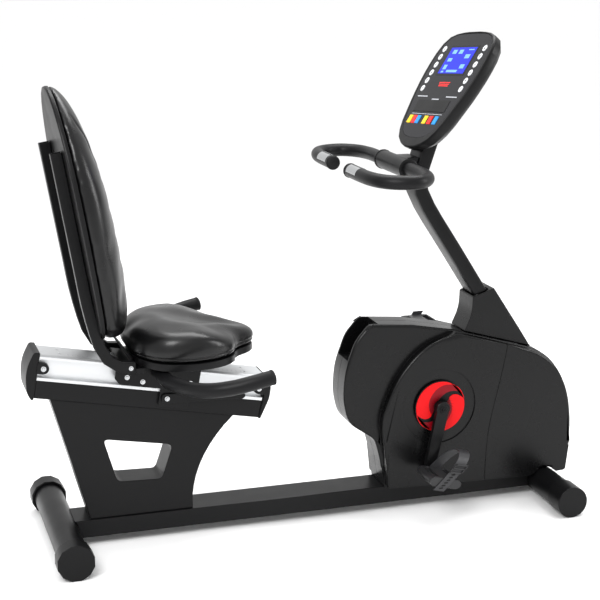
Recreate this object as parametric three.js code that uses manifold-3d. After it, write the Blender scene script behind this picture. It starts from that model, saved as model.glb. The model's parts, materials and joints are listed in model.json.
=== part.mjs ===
// A recumbent magnetic exercise bike: base rail on two stabilisers, seat on an inclined slide,
// belt drive with a flywheel inside a two-part shroud, and a mast with handlebar and console.
//
// Frame: millimetres, +Z up, +X the way the rider faces, +Y the rider's left. Every size below is
// measured from the axis of the rear stabiliser; the finished group is shifted so that its origin
// lies on the floor under the middle of the bike.
import * as THREE from "three";
import { mergeVertices } from "three/addons/utils/BufferGeometryUtils.js";
import Module from "manifold-3d";

const wasm = await Module();
wasm.setup();

// ---------------------------------------------------------------- driving dimensions
const gap = 0.4; // between two pieces that meet
const running = 0.5; // radial play of a turning piece
const steelWall = 2.5;
const degree = Math.PI / 180;

// base
const wheelbase = 1319; // rear stabiliser axis to front stabiliser axis
const stabiliserRadius = 38;
const rearCap = { radius: 45, inner: 202, outer: 250, sides: 12, floor: 10 };
const frontCap = { radius: 42, inner: 176, outer: 242, sides: 36, floor: 4 };
const railBox = { halfWidth: 49, bottom: 23.7, height: 46.5 };

// inclined seat track; s runs down along it towards the front and h stands square on it
const trackAngle = 10.5 * degree;
const track = { rear: -132.5, front: 446.5, halfWidth: 50 };
const beam = { bottom: 386.6, height: 45.8 };
const slide = { height: 64.5, flange: 7.8, lip: 6.5, chamfer: 4.5, recess: 12, web: 5 };

// pedestal under the track
const pedestal = { halfWidth: 44, rearFoot: 70, frontFoot: 335, rearTop: -92, frontTop: 381.5 };
const pedestalWindow = [
  [109, 278, 14],
  [285, 247, 16],
  [255, 159, 12],
  [142, 163, 14],
];

// carriage that rolls on the track
const carriage = { rear: 56, front: 272, plate: 5, lift: 3.5, sideGap: 6 };
const rollerPlaces = { rear: 87, front: 250 };
const rollerAxleRadius = 5;
const rollerWidth = 11;

// seat
const seatPan = { bottom: 475, top: 493, wall: 5 };
const seatOutline = [
  [188, 0],
  [189, 55],
  [200, 95],
  [224, 136],
  [258, 164],
  [305, 174],
  [354, 170],
  [400, 150],
  [431, 117],
  [438, 92],
  [455, 72],
  [482, 52],
  [500, 27],
  [506, 0],
];
const seatCrest = { rear: 577, front: 539, dish: 20 };

// backrest, leaning back between its lower and its upper edge
const back = { lowZ: 541, shell: 12, lean: 0.1645, footX: 101.5, crown: 76 };
const backOutline = [
  [0, 0],
  [60, 2],
  [112, 18],
  [148, 54],
  [166, 110],
  [176, 180],
  [181, 260],
  [181, 340],
  [172, 425],
  [152, 488],
  [120, 546],
  [84, 586],
  [42, 609],
  [0, 616],
];
const upright = { across: 24, deep: 28, y: 95, top: 1010 };
const brace = { halfWidth: 74, thickness: 4 };

// grab handles beside the seat
const handleRadius = 18;
const handleBore = 12;
const handleRoute = [
  [247, 63, 452],
  [248, 120, 452],
  [252, 190, 456],
  [272, 268, 463],
  [312, 328, 472],
  [360, 358, 483],
  [410, 370, 495],
  [462, 371, 506],
];

// shroud, given in side view
const shroud = { panelHalf: 50, drumHalf: 75, wall: 3 };
const shroudOutline = [
  [812, 521, 10],
  [930, 511, 0],
  [1048, 489, 0],
  [1194, 447, 0],
  [1286, 420, 30],
  [1346, 377, 40],
  [1384, 300, 60],
  [1398, 196, 60],
  [1384, 68, 8],
  [1290, 60, 0],
  [858, 68, 4],
  [845, 150, 20],
  [830, 204, 14],
  [756, 256, 24],
  [740, 322, 30],
  [746, 400, 30],
  [774, 478, 20],
];
const drumOutline = [
  [1048, 486, 0],
  [955, 456, 60],
  [880, 375, 80],
  [836, 262, 60],
  [850, 180, 20],
  [860, 72, 8],
  [1290, 64, 0],
  [1380, 70, 8],
  [1394, 196, 60],
  [1379, 299, 60],
  [1341, 374, 40],
  [1282, 416, 30],
  [1192, 444, 0],
];
const pocket = { rear: 720, front: 838, bottom: 425, half: 38 };
const recess = { radius: 103, depth: 4 };

// drive
const crankCentre = { x: 1001, z: 290 };
const crank = { length: 168, axleRadius: 9, boss: 17, tip: 14, inner: 88, outer: 104, angle: 12 };
const disc = { radius: 71, thickness: 3.5 };
const spindleRadius = 7;
const pedal = { inner: 118, outer: 210, length: 90, height: 26, pitch: 14 };
const strap = { width: 30, thickness: 2.6, rise: 66, lean: 0.62, offset: -2, tail: 22, step: 15 };
const pulley = { radius: 110, inner: 30, outer: 44 };
const belt = { thickness: 3, margin: 1.2 };
const flywheel = { x: 1190, z: 212, radius: 110, inner: -44, outer: -22, axleRadius: 8, pulley: 22 };
const idler = { radius: 18, axle: 5 };
const brake = { radius: 129, band: 12, from: 48, to: -62, pin: 5.6 };

// mast and neck: a flat-sided tube, leaning back, then forward again above the handlebar
const mast = { across: 80, deep: 40, round: 12 };
const mastRoute = [
  [1244, 400],
  [1127, 583],
  [948, 862],
];
const neckRoute = [
  [973, 968],
  [994, 1032],
];
const cowl = { half: 46, wall: 3, rear: 25, front: 35, rimZ: 574, rise: 20, heel: 1080, toe: 1274 };

// handlebar, in plan
const barZ = 930;
const barRadius = 17.5;
const barBore = 12;
const barRoute = [
  [895, 0],
  [895, 60],
  [897, 130],
  [895, 200],
  [880, 252],
  [846, 284],
  [803, 280],
  [772, 256],
  [755, 215],
  [749, 160],
  [748, 60],
];
const sleeve = { half: 88, radius: 24.5 };

// console; u runs to the rider's right, v up its face and n out of it, towards the rider
const consoleCentre = { x: 1054, z: 1180, tilt: 34.1, roll: 5.7 };
const faceOutline = [
  [0, 96],
  [60, 94],
  [112, 83],
  [137, 58],
  [148, 0],
  [141, -72],
  [122, -136],
  [105, -178],
  [76, -206],
  [36, -217],
  [0, -218],
];
const housingOutline = [
  [0, 101],
  [64, 99],
  [121, 87],
  [147, 60],
  [158, 0],
  [151, -74],
  [133, -140],
  [117, -186],
  [88, -222],
  [42, -242],
  [0, -246],
];
const fascia = { thickness: 3.2, seat: 4 };
const key = { radius: 9, flange: 10.8, proud: 1.6, count: 6, halfTop: 113.4, halfLow: 110.5 };
const keyColumn = { top: 47.5, low: -72.3 };

// ---------------------------------------------------------------- solids
function paint(colour, roughness, metalness) {
  return new THREE.MeshStandardMaterial({ color: colour, roughness, metalness });
}

function solidOf(geometry) {
  const bare = geometry.index ? geometry.toNonIndexed() : geometry.clone();
  for (const name of Object.keys(bare.attributes)) {
    if (name !== "position") bare.deleteAttribute(name);
  }
  const welded = mergeVertices(bare, 1e-4);
  const corners = new Uint32Array(welded.index.array);
  const build = () =>
    new wasm.Manifold(
      new wasm.Mesh({
        numProp: 3,
        vertProperties: new Float32Array(welded.attributes.position.array),
        triVerts: corners,
      }),
    );
  const first = build();
  if (first.volume() > 0) return first;
  for (let i = 0; i < corners.length; i += 3) {
    [corners[i + 1], corners[i + 2]] = [corners[i + 2], corners[i + 1]];
  }
  return build();
}

function geometryOf(solid) {
  const mesh = solid.getMesh();
  const points = new Float32Array(mesh.numVert * 3);
  for (let i = 0; i < mesh.numVert; i += 1) {
    points.set(mesh.vertProperties.subarray(i * mesh.numProp, i * mesh.numProp + 3), i * 3);
  }
  const indexed = new THREE.BufferGeometry();
  indexed.setAttribute("position", new THREE.BufferAttribute(points, 3));
  indexed.setIndex(new THREE.BufferAttribute(new Uint32Array(mesh.triVerts), 1));
  const flat = indexed.toNonIndexed();
  flat.computeVertexNormals();
  return flat;
}

const join = (first, ...others) => others.reduce((sum, other) => sum.add(other), first);
const cut = (first, ...tools) => tools.reduce((rest, tool) => rest.subtract(tool), first);

function place(parent, name, solid, material) {
  const mesh = new THREE.Mesh(geometryOf(solid), material);
  mesh.name = name;
  parent.add(mesh);
  return mesh;
}

// The same solid on the rider's left: a mirror image across the middle plane.
function placePair(parent, name, solid, material) {
  place(parent, name + "_right", solid, material);
  place(parent, name + "_left", solid, material.clone()).scale.y = -1;
}

function block(x0, x1, y0, y1, z0, z1) {
  const box = new THREE.BoxGeometry(x1 - x0, y1 - y0, z1 - z0);
  return solidOf(box.translate((x0 + x1) / 2, (y0 + y1) / 2, (z0 + z1) / 2));
}

// A cylinder along Y from y0 to y1.
function barrel(radius, y0, y1, x = 0, z = 0, sides = 24) {
  const drum = new THREE.CylinderGeometry(radius, radius, y1 - y0, sides, 1);
  return solidOf(drum.translate(x, (y0 + y1) / 2, z));
}

// Corners [x, z, radius] joined by straight edges, each corner rounded.
function roundedShape(corners) {
  const shape = new THREE.Shape();
  corners.forEach(([x, z, radius = 0], i) => {
    const here = new THREE.Vector2(x, z);
    const before = new THREE.Vector2(...corners.at(i - 1).slice(0, 2));
    const after = new THREE.Vector2(...corners[(i + 1) % corners.length].slice(0, 2));
    const back = before.clone().sub(here);
    const ahead = after.clone().sub(here);
    const reach = Math.min(radius, back.length() / 2.1, ahead.length() / 2.1);
    const start = here.clone().addScaledVector(back.normalize(), reach);
    const end = here.clone().addScaledVector(ahead.normalize(), reach);
    if (i === 0) shape.moveTo(start.x, start.y);
    else shape.lineTo(start.x, start.y);
    if (reach > 0) shape.quadraticCurveTo(here.x, here.y, end.x, end.y);
  });
  shape.closePath();
  return shape;
}

// A side-view shape, given thickness along Y from y0 to y1.
function sidePlate(shape, y0, y1, curveSegments = 5) {
  const options = { depth: y1 - y0, bevelEnabled: false, curveSegments };
  const slab = new THREE.ExtrudeGeometry(shape, options);
  return solidOf(slab.rotateX(Math.PI / 2).translate(0, y1, 0));
}

// Closed rings of equally many points, skinned one to the next and capped at both ends.
function loft(rings) {
  const points = rings.flat();
  const count = rings[0].length;
  const centre = (ring) => ring.reduce((sum, p) => sum.add(p), new THREE.Vector3()).divideScalar(count);
  points.push(centre(rings[0]), centre(rings.at(-1)));
  const low = points.length - 2;
  const high = points.length - 1;
  const faces = [];
  for (let i = 0; i < count; i += 1) {
    const j = (i + 1) % count;
    faces.push(low, j, i);
    faces.push(high, (rings.length - 1) * count + i, (rings.length - 1) * count + j);
    for (let k = 0; k + 1 < rings.length; k += 1) {
      const a = k * count;
      const b = a + count;
      faces.push(a + i, a + j, b + j);
      faces.push(a + i, b + j, b + i);
    }
  }
  const skin = new THREE.BufferGeometry().setFromPoints(points);
  skin.setIndex(faces);
  return solidOf(skin);
}

// A closed smooth outline through half an outline's points and their mirror image.
function loopPoints(half, mirror, count) {
  const there = half.map(([a, b]) => new THREE.Vector3(a, b, 0));
  const backAgain = there.slice(1, -1).reverse().map(mirror);
  const curve = new THREE.CatmullRomCurve3([...there, ...backAgain], true, "centripetal");
  return curve.getSpacedPoints(count).slice(0, count);
}

function roundSection(radius, bore, sides) {
  const section = new THREE.Shape().absarc(0, 0, radius, 0, 2 * Math.PI, false);
  if (bore > 0) section.holes.push(new THREE.Path().absarc(0, 0, bore, 0, 2 * Math.PI, true));
  return { section, sides };
}

// A rounded rectangular tube section, `across` along Y and `deep` in the side view.
function boxSection(across, deep, round, wall) {
  const corners = (a, d, r) => [
    [-a, -d, r],
    [a, -d, r],
    [a, d, r],
    [-a, d, r],
  ];
  const section = roundedShape(corners(across / 2, deep / 2, round));
  if (wall > 0) {
    const inner = roundedShape(corners(across / 2 - wall, deep / 2 - wall, Math.max(round - wall, 0.5)));
    section.holes.push(new THREE.Path(inner.getPoints(2).slice(0, -1).reverse()));
  }
  return { section, sides: 2 };
}

// A section carried along a path. A round section's `sides` is its number of facets.
function sweep(path, { section, sides }, steps) {
  const options = { steps, extrudePath: path, bevelEnabled: false, curveSegments: sides };
  return solidOf(new THREE.ExtrudeGeometry(section, options));
}

const smoothPath = (points) =>
  new THREE.CatmullRomCurve3(points.map((p) => new THREE.Vector3(...p)), false, "centripetal");
const straightPath = (from, to) =>
  new THREE.LineCurve3(new THREE.Vector3(...from), new THREE.Vector3(...to));

// ---------------------------------------------------------------- the track's own frame
const alongTrack = new THREE.Vector2(Math.cos(trackAngle), -Math.sin(trackAngle));
const squareToTrack = new THREE.Vector2(Math.sin(trackAngle), Math.cos(trackAngle));
const fromTrack = (s, h) => [
  alongTrack.x * s + squareToTrack.x * h,
  alongTrack.y * s + squareToTrack.y * h,
];
const toTrack = (x, z) => [
  alongTrack.x * x + alongTrack.y * z,
  squareToTrack.x * x + squareToTrack.y * z,
];

const bike = new THREE.Group();
const trackFrame = new THREE.Group();
trackFrame.rotation.y = trackAngle;
bike.add(trackFrame);

// ---------------------------------------------------------------- base
const railTop = railBox.bottom + railBox.height;
const rearAxisZ = rearCap.radius;
const frontAxisZ = frontCap.radius;

function stabiliser(x, z, reach) {
  const tube = barrel(stabiliserRadius, -reach, reach, x, z, 32);
  return cut(tube, barrel(stabiliserRadius - steelWall, -reach - 1, reach + 1, x, z, 32));
}

// An end cap on the rider's right: a cup whose outside stands on the floor.
function endCap(cap, x, z) {
  const outside = new THREE.CylinderGeometry(1, 1, cap.outer - cap.inner, cap.sides, 1);
  const circumradius = cap.radius / Math.cos(Math.PI / cap.sides);
  outside.scale(circumradius, 1, circumradius).rotateY(Math.PI / cap.sides);
  outside.translate(x, -(cap.outer + cap.inner) / 2, z);
  const bore = stabiliserRadius + gap;
  return cut(solidOf(outside), barrel(bore, -(cap.outer - cap.floor), -cap.inner + 1, x, z, 32));
}

function baseRail() {
  const { halfWidth, bottom } = railBox;
  const wall = steelWall + 0.5;
  const tube = cut(
    block(0, wheelbase, -halfWidth, halfWidth, bottom, railTop),
    block(-1, wheelbase + 1, -halfWidth + wall, halfWidth - wall, bottom + wall, railTop - wall),
  );
  const cope = (x, z) => barrel(stabiliserRadius + gap, -halfWidth - 1, halfWidth + 1, x, z, 32);
  const behind = block(-1, 15, -halfWidth - 1, halfWidth + 1, 0, 100);
  const ahead = block(wheelbase - 15, wheelbase + 1, -halfWidth - 1, halfWidth + 1, 0, 100);
  return cut(tube, cope(0, rearAxisZ), cope(wheelbase, frontAxisZ), behind, ahead);
}

const blackSteel = () => paint(0x17181a, 0.5, 0.6);
const blackPlastic = () => paint(0x141516, 0.55, 0);
place(bike, "base_rail", baseRail(), blackSteel());
place(bike, "rear_stabilizer", stabiliser(0, rearAxisZ, rearCap.outer - rearCap.floor - gap), blackSteel());
const frontReach = frontCap.outer - frontCap.floor - gap;
place(bike, "front_stabilizer", stabiliser(wheelbase, frontAxisZ, frontReach), blackSteel());
placePair(bike, "rear_cap", endCap(rearCap, 0, rearAxisZ), blackPlastic());
placePair(bike, "front_cap", endCap(frontCap, wheelbase, frontAxisZ), blackPlastic());

// ---------------------------------------------------------------- pedestal and track
const beamTop = beam.bottom + beam.height;
const slideBottom = beamTop + gap;
const slideTop = slideBottom + slide.height;
const channelLow = slideBottom + slide.flange;
const channelHigh = slideTop - slide.chamfer - slide.lip;

function pedestalShape(inset) {
  const foot = railTop + gap - (inset > 0 ? 5 : 0);
  const top = beam.bottom - gap + (inset > 0 ? 5 : 0);
  const shape = new THREE.Shape();
  shape.moveTo(pedestal.rearFoot + inset, foot);
  shape.lineTo(pedestal.frontFoot - inset, foot);
  shape.lineTo(pedestal.frontFoot - inset, 105);
  const front = fromTrack(pedestal.frontTop - 1.5 * inset, top);
  shape.quadraticCurveTo(pedestal.frontFoot + 9 - inset, 216 + inset, ...front);
  shape.lineTo(...fromTrack(pedestal.rearTop + inset, top));
  shape.closePath();
  return shape;
}

function seatPost() {
  const { halfWidth } = pedestal;
  const outside = sidePlate(pedestalShape(0), -halfWidth, halfWidth, 8);
  const inner = halfWidth - steelWall;
  const hollow = sidePlate(pedestalShape(steelWall), -inner, inner, 8);
  const middle = pedestalWindow.reduce((sum, [x, z]) => [sum[0] + x / 4, sum[1] + z / 4], [0, 0]);
  const grow = (by) =>
    pedestalWindow.map(([x, z, r]) => [
      x + Math.sign(x - middle[0]) * by,
      z + Math.sign(z - middle[1]) * by,
      r + by,
    ]);
  const reveal = sidePlate(roundedShape(grow(steelWall)), -halfWidth, halfWidth);
  const opening = sidePlate(roundedShape(pedestalWindow), -halfWidth - 1, halfWidth + 1);
  return cut(outside, cut(hollow, reveal), opening);
}

function seatBeam() {
  const wall = steelWall + 0.5;
  const { rear, front, halfWidth } = track;
  return cut(
    block(rear, front, -halfWidth, halfWidth, beam.bottom, beamTop),
    block(rear - 1, front + 1, -halfWidth + wall, halfWidth - wall, beam.bottom + wall, beamTop - wall),
  );
}

// The aluminium slide: a hollow extrusion with a roller channel along each side.
function seatRail() {
  const { rear, front, halfWidth } = track;
  const webOut = halfWidth - slide.recess;
  const side = [
    [halfWidth + 2, slideBottom],
    [halfWidth + 2, channelLow],
    [webOut, channelLow],
    [webOut, channelHigh],
    [halfWidth, channelHigh],
    [halfWidth, slideTop - slide.chamfer],
    [halfWidth - slide.chamfer, slideTop],
  ];
  const ring = [...side, ...side.map(([y, h]) => [-y, h]).reverse()];
  const shape = new THREE.Shape(ring.map(([y, h]) => new THREE.Vector2(y, h)));
  const slab = new THREE.ExtrudeGeometry(shape, { depth: front - rear, bevelEnabled: false });
  // the section's first axis becomes Y and its second stays up, running forward along X
  const turn = new THREE.Matrix4().makeBasis(
    new THREE.Vector3(0, 1, 0),
    new THREE.Vector3(0, 0, 1),
    new THREE.Vector3(1, 0, 0),
  );
  slab.applyMatrix4(turn).translate(rear, 0, 0);
  const inner = webOut - slide.web;
  const bore = block(rear - 1, front + 1, -inner, inner, slideBottom + slide.web, slideTop - slide.web);
  const holes = [];
  for (const s of [rear + 52, front - 50]) {
    for (const y of [-20, 20]) {
      const drill = new THREE.CylinderGeometry(3.5, 3.5, 20, 16, 1).rotateX(Math.PI / 2);
      holes.push(solidOf(drill.translate(s, y, slideTop)));
    }
  }
  return cut(solidOf(slab), bore, ...holes);
}

// End covers of the track, with a rubber stop for the carriage in each roller channel.
const stopRadius = 14;
const stopSetBack = 13;

function railCover(profile, end, facing) {
  const half = track.halfWidth + 1;
  const cover = sidePlate(roundedShape(profile), -half, half, 4);
  const reach = end + facing * -stopSetBack;
  const centreH = (channelLow + channelHigh) / 2;
  const parts = [cover];
  for (const hand of [-1, 1]) {
    const inside = track.halfWidth - slide.recess + gap;
    const outside = track.halfWidth + 4;
    const [low, high] = hand < 0 ? [-outside, -inside] : [inside, outside];
    parts.push(barrel(stopRadius, low, high, reach, centreH, 24));
    const [from, to] = facing > 0 ? [reach, end + 3] : [end - 3, reach];
    parts.push(block(from, to, low, high, centreH - stopRadius, centreH + stopRadius));
  }
  return join(...parts);
}

const rearEnd = track.rear - gap;
const frontEnd = track.front + gap;
const rearCover = [
  [rearEnd, beam.bottom - 5, 3],
  [rearEnd, slideTop + 5, 3],
  [rearEnd - 15, slideTop + 5, 10],
  [rearEnd - 26, slideTop - 30, 30],
  [rearEnd - 27, beam.bottom + 50, 30],
  [rearEnd - 19, beam.bottom + 12, 16],
  [rearEnd - 6, beam.bottom - 5, 6],
];
const frontCover = [
  [frontEnd, beam.bottom - 2, 1],
  [frontEnd + 5, beam.bottom - 2, 3],
  [frontEnd + 20, channelLow, 12],
  [frontEnd + 19, slideTop - 24, 12],
  [frontEnd + 7, slideTop - 1, 6],
  [frontEnd, slideTop - 1, 1],
];
place(bike, "seat_post", seatPost(), blackSteel());
place(trackFrame, "seat_beam", seatBeam(), blackSteel());
place(trackFrame, "seat_rail", seatRail(), paint(0xd4d6d8, 0.35, 0.9));
place(trackFrame, "rail_cap_rear", railCover(rearCover, rearEnd, -1), blackPlastic());
place(trackFrame, "rail_cap_front", railCover(frontCover, frontEnd, 1), blackPlastic());

// ---------------------------------------------------------------- carriage
// The release lever's pivot on the rider's right, the bracket that carries it, and the shoe
// between bracket and beam that clamps the carriage.
const leverPivot = { s: 195, h: 420 };

const leverPinRadius = 5;
const shoe = { s: 228, length: 36, height: 20, h: 408, thickness: 3 };
const bracket = { rear: 176, front: 252, low: 396 };

const sidePlateIn = track.halfWidth + slide.flange / 2 + 2;
const sidePlateOut = sidePlateIn + carriage.plate;
const lever = { length: 197, thickness: 6, half: 9, rise: 7.6, inner: sidePlateOut + 1 };
const rollerH = (channelLow + channelHigh) / 2;
const rollerRadius = (channelHigh - channelLow) / 2 - running;
const webFace = track.halfWidth - slide.recess;
const platformZ = seatPan.top - seatPan.wall - gap;
const earX = { rear: 184, front: 208 };
const earZ = { low: 461, high: seatPan.bottom - 1 };

// Plate that ties the foot of the backrest to the carriage.
function backBrace() {
  const high = new THREE.Vector2(148, back.lowZ - 3);
  const low = new THREE.Vector2(182, 492);
  const across = low.clone().sub(high).normalize().rotateAround(new THREE.Vector2(), Math.PI / 2);
  across.multiplyScalar(brace.thickness);
  const foot = new THREE.Vector2(low.x, 478);
  const outline = [
    high,
    low,
    foot,
    new THREE.Vector2(foot.x - brace.thickness, foot.y),
    low.clone().sub(across),
    high.clone().sub(across),
  ];
  const shape = new THREE.Shape(outline.map((p) => new THREE.Vector2(...toTrack(p.x, p.y))));
  return sidePlate(shape, -brace.halfWidth, brace.halfWidth);
}

function carriageFrame() {
  const deckLow = slideTop + carriage.lift;
  const deckHigh = deckLow + carriage.plate;
  const cheek = [
    [carriage.rear, rollerH - 6, 4],
    [carriage.rear + 16, channelLow + 2, 6],
    [carriage.front, channelLow + 2, 4],
    [carriage.front, deckHigh, 0],
    [carriage.rear, deckHigh, 8],
  ];
  const parts = [block(carriage.rear + 4, carriage.front, -sidePlateOut, sidePlateOut, deckLow, deckHigh)];
  // wedge that brings the sloping deck up to a level platform inside the seat pan
  const level = (s) => toTrack(fromTrack(s, deckLow)[0], platformZ);
  const wedge = new THREE.Shape();
  wedge.moveTo(carriage.rear + 62, deckLow + 1);
  wedge.lineTo(carriage.front, deckLow + 1);
  wedge.lineTo(...level(carriage.front - 1));
  wedge.lineTo(...level(carriage.rear + 62));
  wedge.closePath();
  for (const hand of [-1, 1]) {
    const low = hand < 0 ? -sidePlateOut : sidePlateIn;
    const high = hand < 0 ? -sidePlateIn : sidePlateOut;
    parts.push(sidePlate(roundedShape(cheek), low, high, 3));
    const wedgeDepth = 22;
    const wedgeLow = hand < 0 ? -sidePlateOut : sidePlateOut - wedgeDepth;
    parts.push(sidePlate(wedge, wedgeLow, wedgeLow + wedgeDepth));
    for (const s of Object.values(rollerPlaces)) {
      const tip = webFace + 2;
      const [y0, y1] = hand < 0 ? [-sidePlateIn - 1, -tip] : [tip, sidePlateIn + 1];
      parts.push(barrel(rollerAxleRadius, y0, y1, s, rollerH, 16));
    }
    // ear that carries the foot of a backrest upright
    const ear = new THREE.Shape(
      [
        [earX.rear, earZ.low],
        [earX.front, earZ.low],
        [earX.front, earZ.high],
        [earX.rear, earZ.high],
      ].map(([x, z]) => new THREE.Vector2(...toTrack(x, z))),
    );
    const reach = upright.y + upright.across / 2;
    parts.push(sidePlate(ear, hand < 0 ? -reach : sidePlateIn, hand < 0 ? -sidePlateIn : reach));
  }
  const tab = roundedShape([
    [bracket.rear, bracket.low, 10],
    [bracket.front, bracket.low, 10],
    [bracket.front, channelLow + 8, 0],
    [bracket.rear, channelLow + 8, 0],
  ]);
  const pinEnd = lever.inner + lever.thickness + 1;
  parts.push(sidePlate(tab, -sidePlateOut, -sidePlateIn, 4));
  parts.push(barrel(leverPinRadius, -pinEnd, -sidePlateIn - 1, leverPivot.s, leverPivot.h, 16));
  return join(...parts, backBrace());
}

function roller() {
  const wheel = barrel(rollerRadius, -rollerWidth / 2, rollerWidth / 2, 0, 0, 20);
  return cut(wheel, barrel(rollerAxleRadius + running, -rollerWidth, rollerWidth, 0, 0, 16));
}

place(trackFrame, "carriage", carriageFrame(), blackSteel());
for (const [end, s] of Object.entries(rollerPlaces)) {
  for (const [side, hand] of [["right", -1], ["left", 1]]) {
    const wheel = place(trackFrame, `roller_${end}_${side}`, roller(), paint(0x2a2b2d, 0.6, 0));
    wheel.position.set(s, hand * (webFace + 1 + rollerWidth / 2), rollerH);
  }
}

// Release lever on the rider's right, lying beside the track.
function releaseLever() {
  const bar = sidePlate(
    roundedShape([
      [-14, -12, 10],
      [30, -12, 10],
      [lever.length - 40, -lever.half + 2, 10],
      [lever.length, -lever.half, 8],
      [lever.length + 8, 0, 8],
      [lever.length, lever.half, 8],
      [lever.length - 60, lever.half - 2, 10],
      [30, 12, 10],
      [-14, 12, 10],
    ]),
    -lever.thickness,
    0,
    4,
  );
  return cut(bar, barrel(leverPinRadius + running, -20, 20, 0, 0, 16));
}

const leverGroup = new THREE.Group();
leverGroup.position.set(leverPivot.s, -lever.inner, leverPivot.h);
leverGroup.rotation.y = -lever.rise * degree;
trackFrame.add(leverGroup);
place(leverGroup, "release_lever", releaseLever(), blackPlastic());

const shoeFace = track.halfWidth + gap;
place(
  trackFrame,
  "lock_shoe",
  block(
    shoe.s - shoe.length / 2,
    shoe.s + shoe.length / 2,
    -shoeFace - shoe.thickness,
    -shoeFace,
    shoe.h - shoe.height / 2,
    shoe.h + shoe.height / 2,
  ),
  paint(0x3a3a3c, 0.8, 0),
);

// ---------------------------------------------------------------- seat
const acrossMirror = (p) => new THREE.Vector3(p.x, -p.y, 0);
const seatMiddle = 335;
const seatLoop = loopPoints(seatOutline, acrossMirror, 44);
const seatRing = (scale, height, shift = 0) =>
  seatLoop.map((p) => {
    const x = seatMiddle + (p.x - seatMiddle) * scale + shift;
    const y = p.y * scale;
    return new THREE.Vector3(x, y, typeof height === "function" ? height(x, y) : height);
  });

// Height of the seat's rim, falling from the rear to the thighs' end.
function crestHeight(x) {
  const t = THREE.MathUtils.smoothstep(x, 300, 470);
  return seatCrest.rear + (seatCrest.front - seatCrest.rear) * t;
}

function seatPanSolid() {
  const outside = loft([seatRing(1, seatPan.bottom), seatRing(1, seatPan.top)]);
  const scale = 1 - seatPan.wall / 150;
  const inside = loft([seatRing(scale, seatPan.bottom - 1), seatRing(scale, seatPan.top - seatPan.wall)]);
  const deckPassage = block(180, 206, -sidePlateOut - 1, sidePlateOut + 1, 470, 481.5);
  return cut(outside, inside, deckPassage);
}

function seatCushion() {
  const foot = seatPan.top + gap;
  return loft([
    seatRing(0.985, foot),
    seatRing(1.015, foot + 9, -4),
    seatRing(1.035, foot + 26, -9),
    seatRing(1.02, (x) => crestHeight(x) - 20),
    seatRing(0.95, (x) => crestHeight(x) - 5),
    seatRing(0.84, crestHeight),
    seatRing(0.5, (x) => crestHeight(x) - seatCrest.dish * 0.7),
    seatRing(0.2, (x) => crestHeight(x) - seatCrest.dish),
  ]);
}

place(bike, "seat_pan", seatPanSolid(), blackPlastic());
place(bike, "seat_cushion", seatCushion(), paint(0x0d0d0e, 0.3, 0));

// ---------------------------------------------------------------- backrest
const backX = (z) => back.footX - (z - back.lowZ) * back.lean;
const backLoop = loopPoints(backOutline, (p) => new THREE.Vector3(-p.x, p.y, 0), 44);
const backMiddle = 310;
// One ring of the backrest: its share of the width, of the height above and below the middle.
const backRing = (forward, wide = 1, above = 1, below = 1) =>
  backLoop.map((p) => {
    const z = back.lowZ + backMiddle + (p.y - backMiddle) * (p.y > backMiddle ? above : below);
    return new THREE.Vector3(backX(z) + forward, p.x * wide, z);
  });

const uprightX = (z) => backX(z) - gap - upright.deep / 2;
const uprightRoute = [
  ...[upright.top, 895, 736, 640].map((z) => [uprightX(z), z]),
  [90, 560],
  [104, 520],
  [128, 489],
  [156, 477],
  [earX.rear - gap, 476],
];
const uprightPath = smoothPath(uprightRoute.map(([x, z]) => [x, -upright.y, z]));

// The shell behind the cushion, grooved where the uprights bend forward into it.
function backShell() {
  const tray = loft([backRing(0, 0.985, 0.99, 0.99), backRing(3), backRing(back.shell)]);
  const section = boxSection(upright.across + 2, upright.deep + 2 * gap, 3, 0);
  const groove = sweep(uprightPath, section, 16);
  return cut(tray, groove, groove.mirror([0, 1, 0]));
}
place(bike, "back_shell", backShell(), blackPlastic());
const cushionFoot = back.shell + gap;
place(
  bike,
  "back_cushion",
  loft([
    backRing(cushionFoot, 0.985, 0.995, 0.985),
    backRing(cushionFoot + back.crown * 0.2, 1, 0.98, 1),
    backRing(cushionFoot + back.crown * 0.46, 0.98, 0.9, 1),
    backRing(cushionFoot + back.crown * 0.65, 0.93, 0.78, 0.99),
    backRing(cushionFoot + back.crown * 0.8, 0.82, 0.62, 0.96),
    backRing(cushionFoot + back.crown * 0.93, 0.6, 0.38, 0.88),
    backRing(cushionFoot + back.crown, 0.25, 0.12, 0.5),
  ]),
  paint(0x0d0d0e, 0.3, 0),
);

const uprightSection = boxSection(upright.across, upright.deep, 3, 2);
placePair(bike, "upright", sweep(uprightPath, uprightSection, 16), blackSteel());

// ---------------------------------------------------------------- grab handles
const handlePath = smoothPath(handleRoute.map(([x, y, z]) => [x, -y, z]));
const handleTube = sweep(handlePath, roundSection(handleRadius, handleBore, 8), 14);
placePair(bike, "seat_handle", handleTube, paint(0x1b1b1c, 0.85, 0));

// ---------------------------------------------------------------- mast
const [mastLow, , mastHigh] = mastRoute;
const lean = new THREE.Vector2(mastHigh[0] - mastLow[0], mastHigh[1] - mastLow[1]).normalize();
const mastFoot = new THREE.Vector3(mastRoute[0][0], 0, mastRoute[0][1]);
const mastDirection = new THREE.Vector3(lean.x, 0, lean.y);
const mastPoint = (distance) => mastFoot.clone().addScaledVector(mastDirection, distance).toArray();
const mastPath = smoothPath([
  mastPoint(0),
  mastPoint(180),
  mastPoint(360),
  mastPoint(500),
  [953, 0, 868],
  [950, 0, 895],
  ...neckRoute.map(([x, z]) => [x, 0, z]),
]);
const mastSection = boxSection(mast.across, mast.deep, mast.round, steelWall);
place(bike, "mast_tube", sweep(mastPath, mastSection, 16), blackSteel());

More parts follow.
